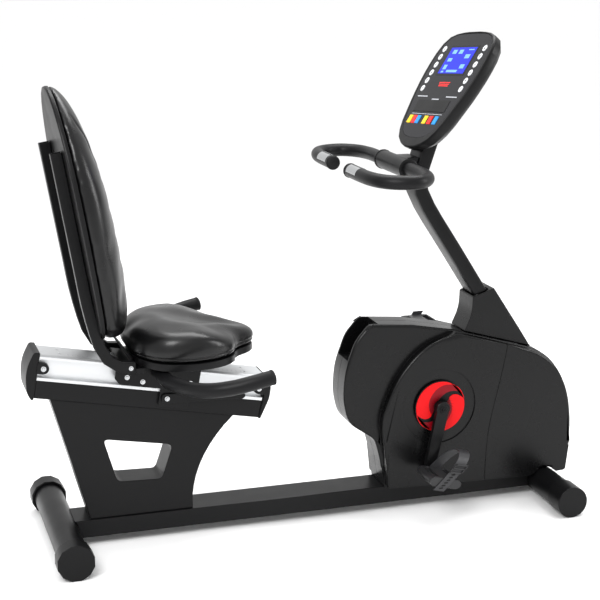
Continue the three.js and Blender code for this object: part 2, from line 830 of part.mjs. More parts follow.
// A straight stretch of the mast's outside, grown by `margin` all round.
function mastSpace(margin, from, to) {
  const section = boxSection(mast.across + 2 * margin, mast.deep + 2 * margin, mast.round + margin, 0);
  return sweep(straightPath(mastPoint(from), mastPoint(to)), section, 1);
}

// ---------------------------------------------------------------- drive frame
const socket = { wall: 4, length: 22, margin: 0.6 };

function driveFrame() {
  const half = 15;
  const { x: cx, z: cz } = crankCentre;
  const foot = railTop + gap;
  const parts = [
    block(950, 1272, -24, 24, foot, foot + 8),
    block(cx - 15, cx + 15, -half, half, foot + 1, cz - 10),
    barrel(24, -27, 27, cx, cz, 28),
    block(cx + 10, 1244, -half, half, cz - 8, cz + 14),
    block(1226, 1262, -half, half, foot + 1, 418),
    block(flywheel.x - 12, flywheel.x + 12, -half, half, foot + 1, flywheel.z),
    barrel(17, -half - 4, half + 4, flywheel.x, flywheel.z, 24),
    block(1095, 1111, -half, half, foot + 1, idlerPlace.z + 6),
    barrel(idler.axle, 0, pulley.outer, idlerPlace.x, idlerPlace.z, 16),
    block(1255, brakePin.x + 9, -half, half, brakePin.z - 9, brakePin.z + 9),
    barrel(brake.pin, flywheel.inner - 4, 0, brakePin.x, brakePin.z, 16),
    mastSpace(socket.margin + socket.wall, -socket.wall, socket.length),
  ];
  return cut(
    join(...parts),
    barrel(crank.axleRadius + running, -30, 30, cx, cz, 20),
    barrel(flywheel.axleRadius + running, -30, 30, flywheel.x, flywheel.z, 20),
    mastSpace(socket.margin, 0, socket.length + 5),
  );
}

// The belt's straight lower run, from which the idler's place follows.
const drop = new THREE.Vector2(flywheel.x - crankCentre.x, flywheel.z - crankCentre.z);
const centreDistance = drop.length();
const wrap = Math.acos((pulley.radius - flywheel.pulley) / centreDistance);
const lowerNormal = drop.angle() - wrap;
const normal = new THREE.Vector2(Math.cos(lowerNormal), Math.sin(lowerNormal));
const runStart = new THREE.Vector2(crankCentre.x, crankCentre.z).addScaledVector(normal, pulley.radius);
const runEnd = new THREE.Vector2(flywheel.x, flywheel.z).addScaledVector(normal, flywheel.pulley);
const idlerMiddle = runStart.clone().lerp(runEnd, 0.5);
idlerMiddle.addScaledVector(normal, belt.thickness + 2 * running + idler.radius);
const idlerPlace = { x: idlerMiddle.x, z: idlerMiddle.y };
const brakePin = {
  x: flywheel.x + brake.radius * Math.cos(brake.from * degree),
  z: flywheel.z + brake.radius * Math.sin(brake.from * degree),
};
place(bike, "drive_frame", driveFrame(), blackSteel());

// An open belt round two pulleys, `offset` outside them.
function beltLoop(offset) {
  const shape = new THREE.Shape();
  const upper = drop.angle() + wrap;
  const { x, z } = crankCentre;
  shape.absarc(x, z, pulley.radius + offset, upper, lowerNormal, false);
  shape.absarc(flywheel.x, flywheel.z, flywheel.pulley + offset, lowerNormal, upper, false);
  shape.closePath();
  return shape;
}

function driveBelt() {
  const y0 = pulley.inner + belt.margin;
  const y1 = pulley.outer - belt.margin;
  const outside = sidePlate(beltLoop(running + belt.thickness), y0, y1, 18);
  return cut(outside, sidePlate(beltLoop(running), y0 - 1, y1 + 1, 18));
}
place(bike, "drive_belt", driveBelt(), paint(0x101010, 0.8, 0));

// ---------------------------------------------------------------- flywheel, idler and brake
function flywheelRotor() {
  const { radius, inner, outer, axleRadius } = flywheel;
  const wheel = barrel(radius, inner, outer, 0, 0, 40);
  const dish = (y0, y1) => cut(barrel(radius - 22, y0, y1, 0, 0, 36), barrel(30, y0 - 1, y1 + 1, 0, 0, 24));
  const axle = barrel(axleRadius, inner - 2, pulley.outer + 2, 0, 0, 20);
  const small = barrel(flywheel.pulley, pulley.inner, pulley.outer, 0, 0, 28);
  return join(cut(wheel, dish(inner - 1, inner + 7), dish(outer - 7, outer + 1)), axle, small);
}
const rotor = place(bike, "flywheel", flywheelRotor(), paint(0x8d9094, 0.4, 0.9));
rotor.position.set(flywheel.x, 0, flywheel.z);

const idlerWheel = place(
  bike,
  "idler_wheel",
  cut(
    barrel(idler.radius, pulley.inner, pulley.outer, 0, 0, 24),
    barrel(idler.axle + running, 0, 60, 0, 0, 16),
  ),
  blackPlastic(),
);
idlerWheel.position.set(idlerPlace.x, 0, idlerPlace.z);

// Curved arm that carries the magnets round the flywheel's rim.
function brakeArm() {
  const shape = new THREE.Shape();
  const inner = brake.radius - brake.band;
  const { x, z } = flywheel;
  shape.absarc(x, z, brake.radius, brake.to * degree, (brake.from - 3) * degree, false);
  shape.absarc(x, z, inner, (brake.from - 3) * degree, brake.to * degree, true);
  shape.closePath();
  const y0 = flywheel.inner - 2;
  const y1 = flywheel.outer + 2;
  const band = sidePlate(shape, y0, y1, 14);
  const boss = barrel(12, y0, y1, brakePin.x, brakePin.z, 20);
  const bore = barrel(brake.pin + running, y0 - 1, y1 + 1, brakePin.x, brakePin.z, 16);
  return cut(join(band, boss), bore, barrel(flywheel.radius + 3, y0 - 1, y1 + 1, x, z, 48));
}
place(bike, "brake_arm", brakeArm(), paint(0x6f7276, 0.5, 0.8));

// ---------------------------------------------------------------- crankset
const crankset = new THREE.Group();
crankset.position.set(crankCentre.x, 0, crankCentre.z);
crankset.rotation.y = crank.angle * degree;
bike.add(crankset);

const axleReach = crank.outer - 2;
const crankAxle = barrel(crank.axleRadius, -axleReach, axleReach, 0, 0, 20);
place(crankset, "crank_axle", crankAxle, paint(0x9a9ca0, 0.35, 0.9));

function drivePulley() {
  const rim = barrel(pulley.radius, pulley.inner, pulley.outer, 0, 0, 44);
  const windows = [];
  for (let i = 0; i < 5; i += 1) {
    const angle = (i * 2 * Math.PI) / 5;
    windows.push(barrel(24, 0, 60, 62 * Math.cos(angle), 62 * Math.sin(angle), 18));
  }
  return cut(rim, barrel(crank.axleRadius + gap, 0, 60, 0, 0, 20), ...windows);
}
place(crankset, "drive_pulley", drivePulley(), blackPlastic());

// Right crank arm with its cover disc behind it and the pedal spindle at its tip.
function crankArm() {
  const { length, boss, tip, inner, outer, axleRadius } = crank;
  const discIn = shroud.drumHalf + 1.5;
  const arm = new THREE.Shape();
  arm.absarc(0, 0, boss, 0, Math.PI, false);
  arm.absarc(0, -length, tip, Math.PI, 2 * Math.PI, false);
  arm.closePath();
  const parts = [
    sidePlate(arm, -outer, -inner, 12),
    barrel(boss, -inner - 1, -discIn, 0, 0, 24),
    barrel(disc.radius, -discIn - disc.thickness, -discIn, 0, 0, 40),
    barrel(spindleRadius, -pedal.outer + 8, -inner - 2, 0, -length, 16),
  ];
  return cut(join(...parts), barrel(axleRadius + gap, -outer + 1, 0, 0, 0, 20));
}

function pedalBody() {
  const { inner, outer, length, height } = pedal;
  const half = length / 2;
  const side = roundedShape([
    [-half, -4, 4],
    [-half + 10, -height / 2, 4],
    [half - 10, -height / 2, 4],
    [half, -4, 4],
    [half, 4, 4],
    [half - 10, height / 2, 4],
    [-half + 10, height / 2, 4],
    [-half, 4, 4],
  ]);
  const body = sidePlate(side, -outer, -inner, 3);
  const well = (x0, x1) => block(x0, x1, -outer + 12, -inner - 12, -height, height);
  const spindleBore = barrel(spindleRadius + running, -outer + 6, 0, 0, 0, 16);
  return cut(body, well(-half + 14, -18), well(18, half - 14), spindleBore);
}

// Toe strap: a band that rises over the pedal leaning forward, its tail ending on the outer side.
function toeStrap() {
  const yIn = -pedal.inner + gap;
  const yOut = -pedal.outer - gap;
  const t = strap.thickness;
  const rise = pedal.height / 2 + strap.rise;
  const band = (grow, low, tail) => {
    const shape = new THREE.Shape();
    const top = rise + grow;
    shape.moveTo(yIn + grow, low + strap.step);
    shape.lineTo(yIn + grow, pedal.height / 2);
    shape.bezierCurveTo(yIn + grow, rise * 0.8 + grow, yIn - 25, top, (yIn + yOut) / 2, top);
    shape.bezierCurveTo(yOut + 25, top, yOut - grow, rise * 0.8 + grow, yOut - grow, pedal.height / 2);
    shape.lineTo(yOut - grow, low);
    if (tail > 0) shape.lineTo(yOut - grow, -tail);
    if (tail > 0) shape.lineTo(yOut - grow + t, -tail);
    if (tail > 0) shape.lineTo(yOut - grow + t, low);
    shape.closePath();
    return shape;
  };
  const extrude = (shape, margin) => {
    const slab = new THREE.ExtrudeGeometry(shape, {
      depth: strap.width + 2 * margin,
      bevelEnabled: false,
      curveSegments: 8,
    });
    const turn = new THREE.Matrix4().makeBasis(
      new THREE.Vector3(0, 1, 0),
      new THREE.Vector3(0, 0, 1),
      new THREE.Vector3(1, 0, 0),
    );
    slab.applyMatrix4(turn).translate(strap.offset - strap.width / 2 - margin, 0, 0);
    return solidOf(slab.applyMatrix4(new THREE.Matrix4().makeShear(0, 0, 0, 0, strap.lean, 0)));
  };
  return cut(extrude(band(t, -6, strap.tail), 0), extrude(band(0, -36, 0), 1));
}

// The right pedal lies tread up; the left one hangs tread down from the raised crank.
for (const [side, turn, hand] of [["right", 0, 1], ["left", Math.PI, -1]]) {
  const half = new THREE.Group();
  half.rotation.y = turn;
  crankset.add(half);
  place(half, "crank_arm_" + side, crankArm(), paint(0x1a1b1d, 0.4, 0.7)).scale.y = hand;
  const tread = new THREE.Group();
  tread.position.z = -crank.length;
  const settled = side === "right" ? pedal.pitch * degree : Math.PI;
  tread.rotation.y = settled - crank.angle * degree - turn;
  half.add(tread);
  place(tread, "pedal_" + side, pedalBody(), blackPlastic()).scale.y = hand;
  place(tread, "strap_" + side, toeStrap(), paint(0x222224, 0.7, 0)).scale.y = hand;
}

// ---------------------------------------------------------------- shroud and cowl
// Insets a side-view outline towards its middle by about the wall thickness.
function insetCorners(corners, by) {
  return corners.map(([x, z, radius], i) => {
    const before = corners.at(i - 1);
    const after = corners[(i + 1) % corners.length];
    const tangent = new THREE.Vector2(after[0] - before[0], after[1] - before[1]).normalize();
    const turnSum = corners.reduce((sum, [a, b], k) => {
      const next = corners[(k + 1) % corners.length];
      return sum + a * next[1] - next[0] * b;
    }, 0);
    const hand = Math.sign(turnSum);
    return [x - hand * tangent.y * by, z + hand * tangent.x * by, Math.max(radius - by, 0)];
  });
}

const mastHole = () => mastSpace(socket.margin + socket.wall + 2, -20, 400);

function shroudHalf() {
  const inner = shroud.wall;
  const far = -shroud.panelHalf;
  const skin = sidePlate(roundedShape(shroudOutline), far, -gap / 2, 4);
  const drumShape = roundedShape(drumOutline);
  const drum = sidePlate(drumShape, -shroud.drumHalf, far + 1, 4);
  const hollow = sidePlate(roundedShape(insetCorners(shroudOutline, inner)), far + inner, 5, 3);
  const drumHollow = sidePlate(
    roundedShape(insetCorners(drumOutline, inner)),
    -shroud.drumHalf + inner + recess.depth,
    far + inner + 1,
    3,
  );
  const { x, z } = crankCentre;
  const railSpace = block(700, wheelbase + 200, -railBox.halfWidth - 0.6, 5, 0, railTop + 0.6);
  const stabiliserSpace = barrel(stabiliserRadius + 4, -300, 5, wheelbase, frontAxisZ, 32);
  const pocketSpace = block(pocket.rear, pocket.front, -pocket.half, 5, pocket.bottom, 600);
  const pocketSkin = block(
    pocket.rear,
    pocket.front + inner,
    -pocket.half - inner,
    -gap / 2,
    pocket.bottom - inner,
    600,
  );
  const lined = join(cut(join(skin, drum), hollow, drumHollow), pocketSkin.intersect(skin));
  return cut(
    lined,
    pocketSpace,
    railSpace,
    stabiliserSpace,
    mastHole(),
    barrel(recess.radius, -shroud.drumHalf - 1, -shroud.drumHalf + recess.depth, x, z, 36),
    barrel(crank.boss + 3, -shroud.drumHalf - 1, 5, x, z, 20),
  );
}
placePair(bike, "shroud", shroudHalf(), paint(0x121314, 0.42, 0));

const shroudTop = (x) => {
  const i = shroudOutline.findIndex(([a], k) => k < 8 && shroudOutline[k + 1][0] >= x);
  const [x0, z0] = shroudOutline[i];
  const [x1, z1] = shroudOutline[i + 1];
  return z0 + ((z1 - z0) * (x - x0)) / (x1 - x0);
};

function mastCowl() {
  const lift = 1;
  const rimRear = mastRoute[1][0] - cowl.rear;
  const rimFront = mastRoute[1][0] + cowl.front;
  const corners = [
    [cowl.heel, shroudTop(cowl.heel) + lift, 3],
    [rimRear - 2, 525, 30],
    [rimRear, cowl.rimZ, 4],
    [rimFront, cowl.rimZ + cowl.rise, 4],
    [cowl.toe, shroudTop(cowl.toe) + lift, 3],
    [1194, shroudTop(1194) + lift, 0],
  ];
  const inner = cowl.half - cowl.wall;
  const outside = sidePlate(roundedShape(corners), -cowl.half, cowl.half, 6);
  const hollow = sidePlate(roundedShape(insetCorners(corners, cowl.wall)), -inner, inner, 6);
  const section = boxSection(2 * (cowl.half - cowl.wall), mast.deep + 4, mast.round, 0);
  const inside = sweep(straightPath(mastPoint(-60), mastPoint(600)), section, 1);
  const skirt = block(cowl.heel + 22, cowl.toe - 25, -inner, inner, 380, 480);
  return cut(outside, hollow, inside, skirt);
}
place(bike, "mast_cowl", mastCowl(), blackPlastic());

// ---------------------------------------------------------------- handlebar
const barHalf = barRoute.map(([x, y]) => [x, y, barZ]);
const barPath = smoothPath([
  ...barHalf.slice(1).reverse().map(([x, y, z]) => [x, -y, z]),
  ...barHalf,
]);
place(bike, "handlebar", sweep(barPath, roundSection(barRadius, barBore, 7), 30), paint(0x1b1b1c, 0.85, 0));

function handlebarCover() {
  const x = barRoute[0][0];
  const body = join(
    barrel(sleeve.radius, -sleeve.half, sleeve.half, x, barZ, 28),
    block(x, 950, -34, 34, barZ - 22, barZ + 20),
  );
  const neckSpace = sweep(
    straightPath([945, 0, 880], [980, 0, 990]),
    boxSection(mast.across + 2, mast.deep + 5, mast.round, 0),
    1,
  );
  return cut(body, neckSpace, barrel(barRadius + 1, -sleeve.half - 1, sleeve.half + 1, x, barZ, 28));
}
place(bike, "handlebar_cover", handlebarCover(), blackPlastic());

// ---------------------------------------------------------------- console
const consoleGroup = new THREE.Group();
consoleGroup.position.set(consoleCentre.x, 0, consoleCentre.z);
const tilt = consoleCentre.tilt * degree;
const faceAxes = new THREE.Matrix4().makeBasis(
  new THREE.Vector3(0, -1, 0),
  new THREE.Vector3(Math.sin(tilt), 0, Math.cos(tilt)),
  new THREE.Vector3(-Math.cos(tilt), 0, Math.sin(tilt)),
);
faceAxes.multiply(new THREE.Matrix4().makeRotationZ(consoleCentre.roll * degree));
consoleGroup.setRotationFromMatrix(faceAxes);
bike.add(consoleGroup);

const sideMirror = (p) => new THREE.Vector3(-p.x, p.y, 0);
const faceMiddle = -60;
function faceRing(outline, scale, depth, count = 36) {
  return loopPoints(outline, sideMirror, count).map(
    (p) => new THREE.Vector3(p.x * scale, faceMiddle + (p.y - faceMiddle) * scale, depth),
  );
}

function neckPassage() {
  const frameInverse = new THREE.Matrix4()
    .makeTranslation(consoleCentre.x, 0, consoleCentre.z)
    .multiply(faceAxes)
    .invert();
  const [low, high] = neckRoute;
  const start = new THREE.Vector3(low[0], 0, low[1]);
  const end = new THREE.Vector3(high[0], 0, high[1]);
  const reach = end.clone().sub(start).normalize();
  const below = start.clone().addScaledVector(reach, -60);
  const path = new THREE.LineCurve3(below, end.addScaledVector(reach, 4));
  const { section } = boxSection(mast.across + 4, mast.deep + 6, mast.round, 0);
  const space = new THREE.ExtrudeGeometry(section, { steps: 1, extrudePath: path, curveSegments: 3 });
  return solidOf(space.applyMatrix4(frameInverse));
}

function consoleHousing() {
  const outside = loft([
    faceRing(housingOutline, 0.8, -44),
    faceRing(housingOutline, 0.92, -36),
    faceRing(housingOutline, 0.985, -24),
    faceRing(housingOutline, 1, -5),
    faceRing(housingOutline, 0.985, 0),
  ]);
  const floor = -fascia.seat - 0.4;
  const seat = loft([faceRing(faceOutline, 1, floor), faceRing(faceOutline, 1, 2)]);
  const cavity = loft([
    faceRing(faceOutline, 0.8, -39),
    faceRing(faceOutline, 0.93, -26),
    faceRing(faceOutline, 0.95, floor + 1),
  ]);
  return cut(outside, seat, cavity, neckPassage());
}

const keyPlaces = [];
for (const [side, hand] of [["right", 1], ["left", -1]]) {
  for (let i = 0; i < key.count; i += 1) {
    const t = i / (key.count - 1);
    keyPlaces.push({
      name: `button_${side}_${i + 1}`,
      u: hand * THREE.MathUtils.lerp(key.halfTop, key.halfLow, t),
      v: THREE.MathUtils.lerp(keyColumn.top, keyColumn.low, t),
    });
  }
}

function disk(radius, n0, n1, u, v, sides) {
  const drum = new THREE.CylinderGeometry(radius, radius, n1 - n0, sides, 1).rotateX(Math.PI / 2);
  return solidOf(drum.translate(u, v, (n0 + n1) / 2));
}

const fasciaBack = -fascia.seat;
function consoleFascia() {
  const size = 1 - gap / 100;
  const plate = loft([
    faceRing(faceOutline, size, fasciaBack),
    faceRing(faceOutline, size, fasciaBack + fascia.thickness),
  ]);
  return cut(plate, ...keyPlaces.map(({ u, v }) => disk(key.radius + gap, -10, 5, u, v, 14)));
}

function keyCap() {
  const under = fasciaBack - gap;
  return join(
    disk(key.radius, under - 1, fasciaBack + fascia.thickness + key.proud, 0, 0, 14),
    disk(key.flange, under - 2.2, under, 0, 0, 14),
  );
}

place(consoleGroup, "console_housing", consoleHousing(), blackPlastic());
place(consoleGroup, "console_fascia", consoleFascia(), paint(0x24242c, 0.35, 0));
for (const { name, u, v } of keyPlaces) {
  place(consoleGroup, name, keyCap(), paint(0xe8e8e8, 0.5, 0)).position.set(u, v, 0);
}

// ---------------------------------------------------------------- origin on the floor, in the middle
const extent = new THREE.Box3().setFromObject(bike);
bike.position.x = -(extent.min.x + extent.max.x) / 2;

export default bike;
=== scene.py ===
# %% [markdown]
# # A recumbent exercise bike
# This lesson finishes a bike whose frame is already modelled to size. The rider sits low on a
# padded seat that slides on an inclined alloy rail, pushes two pedals ahead of them, and holds
# either the bar on the mast or the two grab handles beside the seat. Each cell makes one piece or
# one finish. First comes the measured frame, which everything below is fitted to.

# %% Load the frame
import json
import math

import bmesh
import bpy
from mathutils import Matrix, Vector, noise


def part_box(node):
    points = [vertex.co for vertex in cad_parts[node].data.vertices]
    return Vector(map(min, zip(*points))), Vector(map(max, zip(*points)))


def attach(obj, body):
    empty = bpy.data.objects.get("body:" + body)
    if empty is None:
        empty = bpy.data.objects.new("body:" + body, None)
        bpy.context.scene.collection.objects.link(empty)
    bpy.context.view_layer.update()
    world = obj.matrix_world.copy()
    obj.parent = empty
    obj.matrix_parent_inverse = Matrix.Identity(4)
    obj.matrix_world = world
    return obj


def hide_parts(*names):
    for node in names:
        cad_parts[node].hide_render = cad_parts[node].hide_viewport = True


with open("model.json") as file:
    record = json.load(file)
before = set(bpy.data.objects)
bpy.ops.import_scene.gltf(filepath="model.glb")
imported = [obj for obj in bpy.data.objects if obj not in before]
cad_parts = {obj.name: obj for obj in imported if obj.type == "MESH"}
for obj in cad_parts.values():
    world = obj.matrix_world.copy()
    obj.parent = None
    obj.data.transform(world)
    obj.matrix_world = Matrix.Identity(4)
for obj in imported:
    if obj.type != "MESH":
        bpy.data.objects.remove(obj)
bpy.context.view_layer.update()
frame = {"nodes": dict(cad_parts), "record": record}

scene = bpy.context.scene

# %% [markdown]
# ## Where things are
# Bike makers measure from an axle. Here every place is given in millimetres from the axis of the
# rear foot tube, X forward, Y to the rider's left and Z up from the floor. The crank axle's place
# is known in both, so its measured box tells how far the whole bike has been moved.

# %% Measuring helpers
CRANK_X, CRANK_Z = 1001, 290
low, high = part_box("crank_axle")
SHIFT = (low.x + high.x) / 2 - CRANK_X / 1000
TRACK_ANGLE = math.radians(10.5)
BODY = {}  # which body each frame part belongs to
for body_name, members in frame["record"]["behaviour"]["bodies"].items():
    for member in members:
        BODY[member] = body_name


def at(x, y, z):
    """A place on the bike, from millimetres to metres in the frame."""
    return Vector((x / 1000 + SHIFT, y / 1000, z / 1000))


def on_track(s, y, h):
    """A place on the sloping seat track: s along it, h square to it."""
    c, k = math.cos(TRACK_ANGLE), math.sin(TRACK_ANGLE)
    return at(s * c + h * k, y, -s * k + h * c)


CONSOLE_X, CONSOLE_Z = 1054, 1180  # the zero of the console's own plane
CONSOLE_TILT = math.radians(34.1)
CONSOLE_ROLL = math.radians(5.7)


def on_console(u, v, n):
    """A place on the console: u to the right, v up its face, n out of it."""
    c, k = math.cos(CONSOLE_ROLL), math.sin(CONSOLE_ROLL)
    u, v = u * c - v * k, u * k + v * c
    c, k = math.cos(CONSOLE_TILT), math.sin(CONSOLE_TILT)
    return at(CONSOLE_X + v * k - n * c, -u, CONSOLE_Z + v * c + n * k)


print("crank axle at", [round(v, 3) for v in at(CRANK_X, 0, CRANK_Z)])

# %% [markdown]
# ## One recipe for every finish
# A surface looks real when three things vary a little: its colour, its gloss, and its height. The
# recipe below mixes a slow cloudy pattern into colour and roughness, as handling and moulding
# leave it, and a fine grain into the height. The grain can be stretched to make brushed metal.

# %% The finish recipe
CLOUDS = 14  # slow clouds of colour and gloss in a metre


def finish(name, colour, rough, metal=0.0, grain=900, bump=0.0, depth=0.0001, pores=False,
           drift=0.12, tint=0.25, stretch=(1, 1, 1), turn=0.0, glow=0.0, shine=0.16):
    """A material: base colour, roughness, fine grain of a given count per metre, slow drift."""
    made = bpy.data.materials.new(name)
    made.use_nodes = True
    nodes, links = made.node_tree.nodes, made.node_tree.links
    shader = nodes["Principled BSDF"]
    shader.inputs["Metallic"].default_value = metal
    shader.inputs["Specular IOR Level"].default_value = shine
    place = nodes.new("ShaderNodeTexCoord")
    mapping = nodes.new("ShaderNodeMapping")
    mapping.inputs["Rotation"].default_value = (0, turn, 0)
    mapping.inputs["Scale"].default_value = stretch
    links.new(place.outputs["Object"], mapping.inputs["Vector"])
    cloud = nodes.new("ShaderNodeTexNoise")
    cloud.inputs["Scale"].default_value = CLOUDS
    cloud.inputs["Detail"].default_value = 5
    links.new(place.outputs["Object"], cloud.inputs["Vector"])
    shade = nodes.new("ShaderNodeMix")
    shade.data_type = "RGBA"  # its colours are then inputs 6 and 7, and output 2
    shade.inputs[6].default_value = (*[c * (1 - tint) for c in colour], 1)
    shade.inputs[7].default_value = (*[min(1, c * (1 + tint)) for c in colour], 1)
    links.new(cloud.outputs["Fac"], shade.inputs[0])
    links.new(shade.outputs[2], shader.inputs["Base Color"])
    gloss = nodes.new("ShaderNodeMapRange")
    gloss.inputs["From Min"].default_value = 0.3
    gloss.inputs["From Max"].default_value = 0.7
    gloss.inputs["To Min"].default_value = max(0.02, rough * (1 - drift))
    gloss.inputs["To Max"].default_value = min(1.0, rough * (1 + drift))
    links.new(cloud.outputs["Fac"], gloss.inputs["Value"])
    links.new(gloss.outputs["Result"], shader.inputs["Roughness"])
    if bump > 0:
        fine = nodes.new("ShaderNodeTexVoronoi" if pores else "ShaderNodeTexNoise")
        fine.inputs["Scale"].default_value = grain
        links.new(mapping.outputs["Vector"], fine.inputs["Vector"])
        relief = nodes.new("ShaderNodeBump")
        relief.inputs["Strength"].default_value = bump
        relief.inputs["Distance"].default_value = depth
        links.new(fine.outputs["Distance" if pores else "Fac"], relief.inputs["Height"])
        links.new(relief.outputs["Normal"], shader.inputs["Normal"])
    if glow > 0:
        shader.inputs["Emission Color"].default_value = (*colour, 1)
        shader.inputs["Emission Strength"].default_value = glow
    return made


# %% [markdown]
# ## Painted steel, moulded plastic, alloy and rubber
# The frame is steel with a satin black powder coat, which cures with a faint orange peel. Covers
# are black moulded plastic with an eroded grain, the shroud a smoother satin one. The rail is
# drawn alloy, brushed along its length, so its grain is stretched in the direction of the track.

# %% Finishes of the hard parts
powder_coat = finish("powder_coat", (0.0035, 0.0035, 0.0038), 0.34, grain=620, bump=0.2,
                     depth=0.0002)
moulded = finish("moulded_plastic", (0.004, 0.004, 0.0043), 0.38, grain=1500, bump=0.35)
shroud_satin = finish("shroud_satin", (0.0025, 0.0025, 0.0027), 0.28, grain=1100, bump=0.12,
                      shine=0.22)
soft_rubber = finish("soft_rubber", (0.006, 0.006, 0.0065), 0.6, grain=800, bump=0.3)
brushed = finish("brushed_alloy", (0.62, 0.63, 0.64), 0.4, metal=0.8, grain=260, bump=0.2,
                 depth=0.00006, stretch=(0.03, 1, 1), turn=TRACK_ANGLE, tint=0.04)
bright_steel = finish("bright_steel", (0.5, 0.51, 0.52), 0.24, metal=1.0, grain=700, bump=0.05,
                      tint=0.05)
cast_iron = finish("cast_iron", (0.28, 0.29, 0.3), 0.42, metal=0.9, grain=500, bump=0.3)
nylon = finish("roller_nylon", (0.05, 0.05, 0.052), 0.42, grain=900, bump=0.15)
belt_rubber = finish("belt_rubber", (0.008, 0.008, 0.008), 0.75, grain=400, bump=0.4)
pedal_grey = finish("pedal_plastic", (0.016, 0.016, 0.017), 0.34, grain=900, bump=0.3, shine=0.35)
strap_grey = finish("strap_plastic", (0.026, 0.026, 0.028), 0.36, grain=500, bump=0.3, shine=0.35)

# %% [markdown]
# ## Foam, vinyl, red plastic and the console's colours
# The grips are closed-cell foam, dull and slightly pitted. The cushions are covered in glossy
# black vinyl whose leather grain is a pattern of small cells. The crank covers are moulded in two
# reds. The screen lights up blue, and the six quick keys are yellow, red and blue.

# %% Finishes that catch the eye
grip_foam = finish("grip_foam", (0.0045, 0.0045, 0.005), 0.42, grain=1300, bump=0.5, depth=0.0002)
vinyl = finish("seat_vinyl", (0.0022, 0.0022, 0.0024), 0.3, grain=520, bump=0.1, pores=True,
               drift=0.15, shine=0.32)
bright_red = finish("bright_red", (0.62, 0.0015, 0.004), 0.36, grain=700, bump=0.05, tint=0.08)
deep_red = finish("deep_red", (0.19, 0.0015, 0.006), 0.36, grain=700, bump=0.05, tint=0.08)
panel_print = finish("panel_print", (0.004, 0.004, 0.006), 0.22, grain=300, bump=0.05)
key_white = finish("key_white", (0.62, 0.63, 0.65), 0.4, grain=900, bump=0.1, tint=0.06)
print_grey = finish("print_grey", (0.4, 0.41, 0.44), 0.4, tint=0.05)
screen_blue = finish("screen_blue", (0.005, 0.012, 0.42), 0.12, tint=0.5, glow=0.55)
screen_light = finish("screen_light", (0.12, 0.28, 0.85), 0.2, tint=0.2, glow=0.5)
key_yellow = finish("key_yellow", (0.85, 0.55, 0.02), 0.35, grain=900, bump=0.08, tint=0.06)
key_red = finish("key_red", (0.8, 0.02, 0.02), 0.35, grain=900, bump=0.08, tint=0.06)
key_blue = finish("key_blue", (0.02, 0.25, 0.65), 0.35, grain=900, bump=0.08, tint=0.06)
print("finishes:", len(bpy.data.materials))

# %% [markdown]
# ## Camera
# The camera stands a little above the seat, to the rider's right and slightly behind. A long lens
# from far away keeps the proportions, where a wide one close by would swell the nearer end.

# %% Camera
camera = bpy.data.objects.new("camera", bpy.data.cameras.new("camera"))
scene.collection.objects.link(camera)
camera.location = (-1.1367, -3.5738, 1.5154)
camera.rotation_euler = (math.radians(90 - 13.9), 0, math.radians(-17.4))
camera.data.lens = 89.8
camera.data.sensor_width = 36
camera.data.dof.use_dof = False
scene.camera = camera

# %% [markdown]
# ## Floor and light
# A product is shot on a pale floor with wide soft lamps, because a glossy black surface shows
# mostly what it reflects. Three lamps draw its edges, and a broad sun and a bright world fill in
# the shadows.

# %% Floor and lamps
FLOOR_REACH = 30
floor = bpy.data.meshes.new("floor")
corners = [(FLOOR_REACH * x, FLOOR_REACH * y, 0) for x, y in ((-1, -1), (1, -1), (1, 1), (-1, 1))]
floor.from_pydata(corners, [], [(0, 1, 2, 3)])
floor.materials.append(finish("studio_floor", (0.86, 0.86, 0.86), 0.7, grain=60, tint=0.01))
floor = bpy.data.objects.new("floor", floor)
floor.location.z = -0.0005
scene.collection.objects.link(floor)

world = bpy.data.worlds.new("studio")
world.use_nodes = True
background = world.node_tree.nodes["Background"]
background.inputs["Color"].default_value = (1, 1, 1, 1)
background.inputs["Strength"].default_value = 0.95
scene.world = world
scene.view_settings.view_transform = "Standard"


def softbox(name, place, target, width, height, power):
    """A rectangular lamp that looks at a target."""
    light = bpy.data.lights.new(name, "AREA")
    light.shape = "RECTANGLE"
    light.size, light.size_y = width, height
    light.energy = power
    lamp = bpy.data.objects.new(name, light)
    lamp.location = place
    direction = Vector(target) - Vector(place)
    lamp.rotation_euler = direction.to_track_quat("-Z", "Y").to_euler()
    scene.collection.objects.link(lamp)


softbox("key", (-1.8, -2.2, 2.6), (0, 0, 0.6), 1.4, 1.4, 90)
softbox("top", (0.5, 0.9, 3.0), (0, 0, 0.5), 2.4, 1.2, 70)
softbox("side", (3.0, -1.2, 1.6), (0.2, 0, 0.6), 0.8, 1.8, 45)
sky = bpy.data.lights.new("sky", "SUN")
sky.energy = 0.7
sky.angle = math.radians(50)
scene.collection.objects.link(bpy.data.objects.new("sky", sky))
print("camera, floor and", len(bpy.data.lights), "lamps")

# %% [markdown]
# ## Finishing a part of the frame
# Sheet steel, castings and mouldings never have knife edges. This helper takes a copy of a frame
# part, welds its loose triangles, joins the flat ones, rounds the hard edges with a bevel, and
# shades the rest smoothly. The copy stands for the part and moves with the same body.

# %% The rounding helper
def plain_mesh(thing):
    """The evaluated shape as an ordinary mesh, with every modifier taken off."""
    graph = bpy.context.evaluated_depsgraph_get()
    made = bpy.data.meshes.new_from_object(thing.evaluated_get(graph), depsgraph=graph)
    thing.modifiers.clear()
    thing.data = made
    return made


def smooth_shading(mesh, angle=38):
    """Smooth everywhere but on edges that bend more than an angle in degrees."""
    mesh.shade_smooth()
    mesh.set_sharp_from_angle(angle=math.radians(angle))


def settle(piece, body):
    """The piece rides on a body."""
    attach(piece, body)
    return piece


def painted(mesh, material):
    """Leaves the mesh with this one material."""
    mesh.materials.clear()
    mesh.materials.append(material)


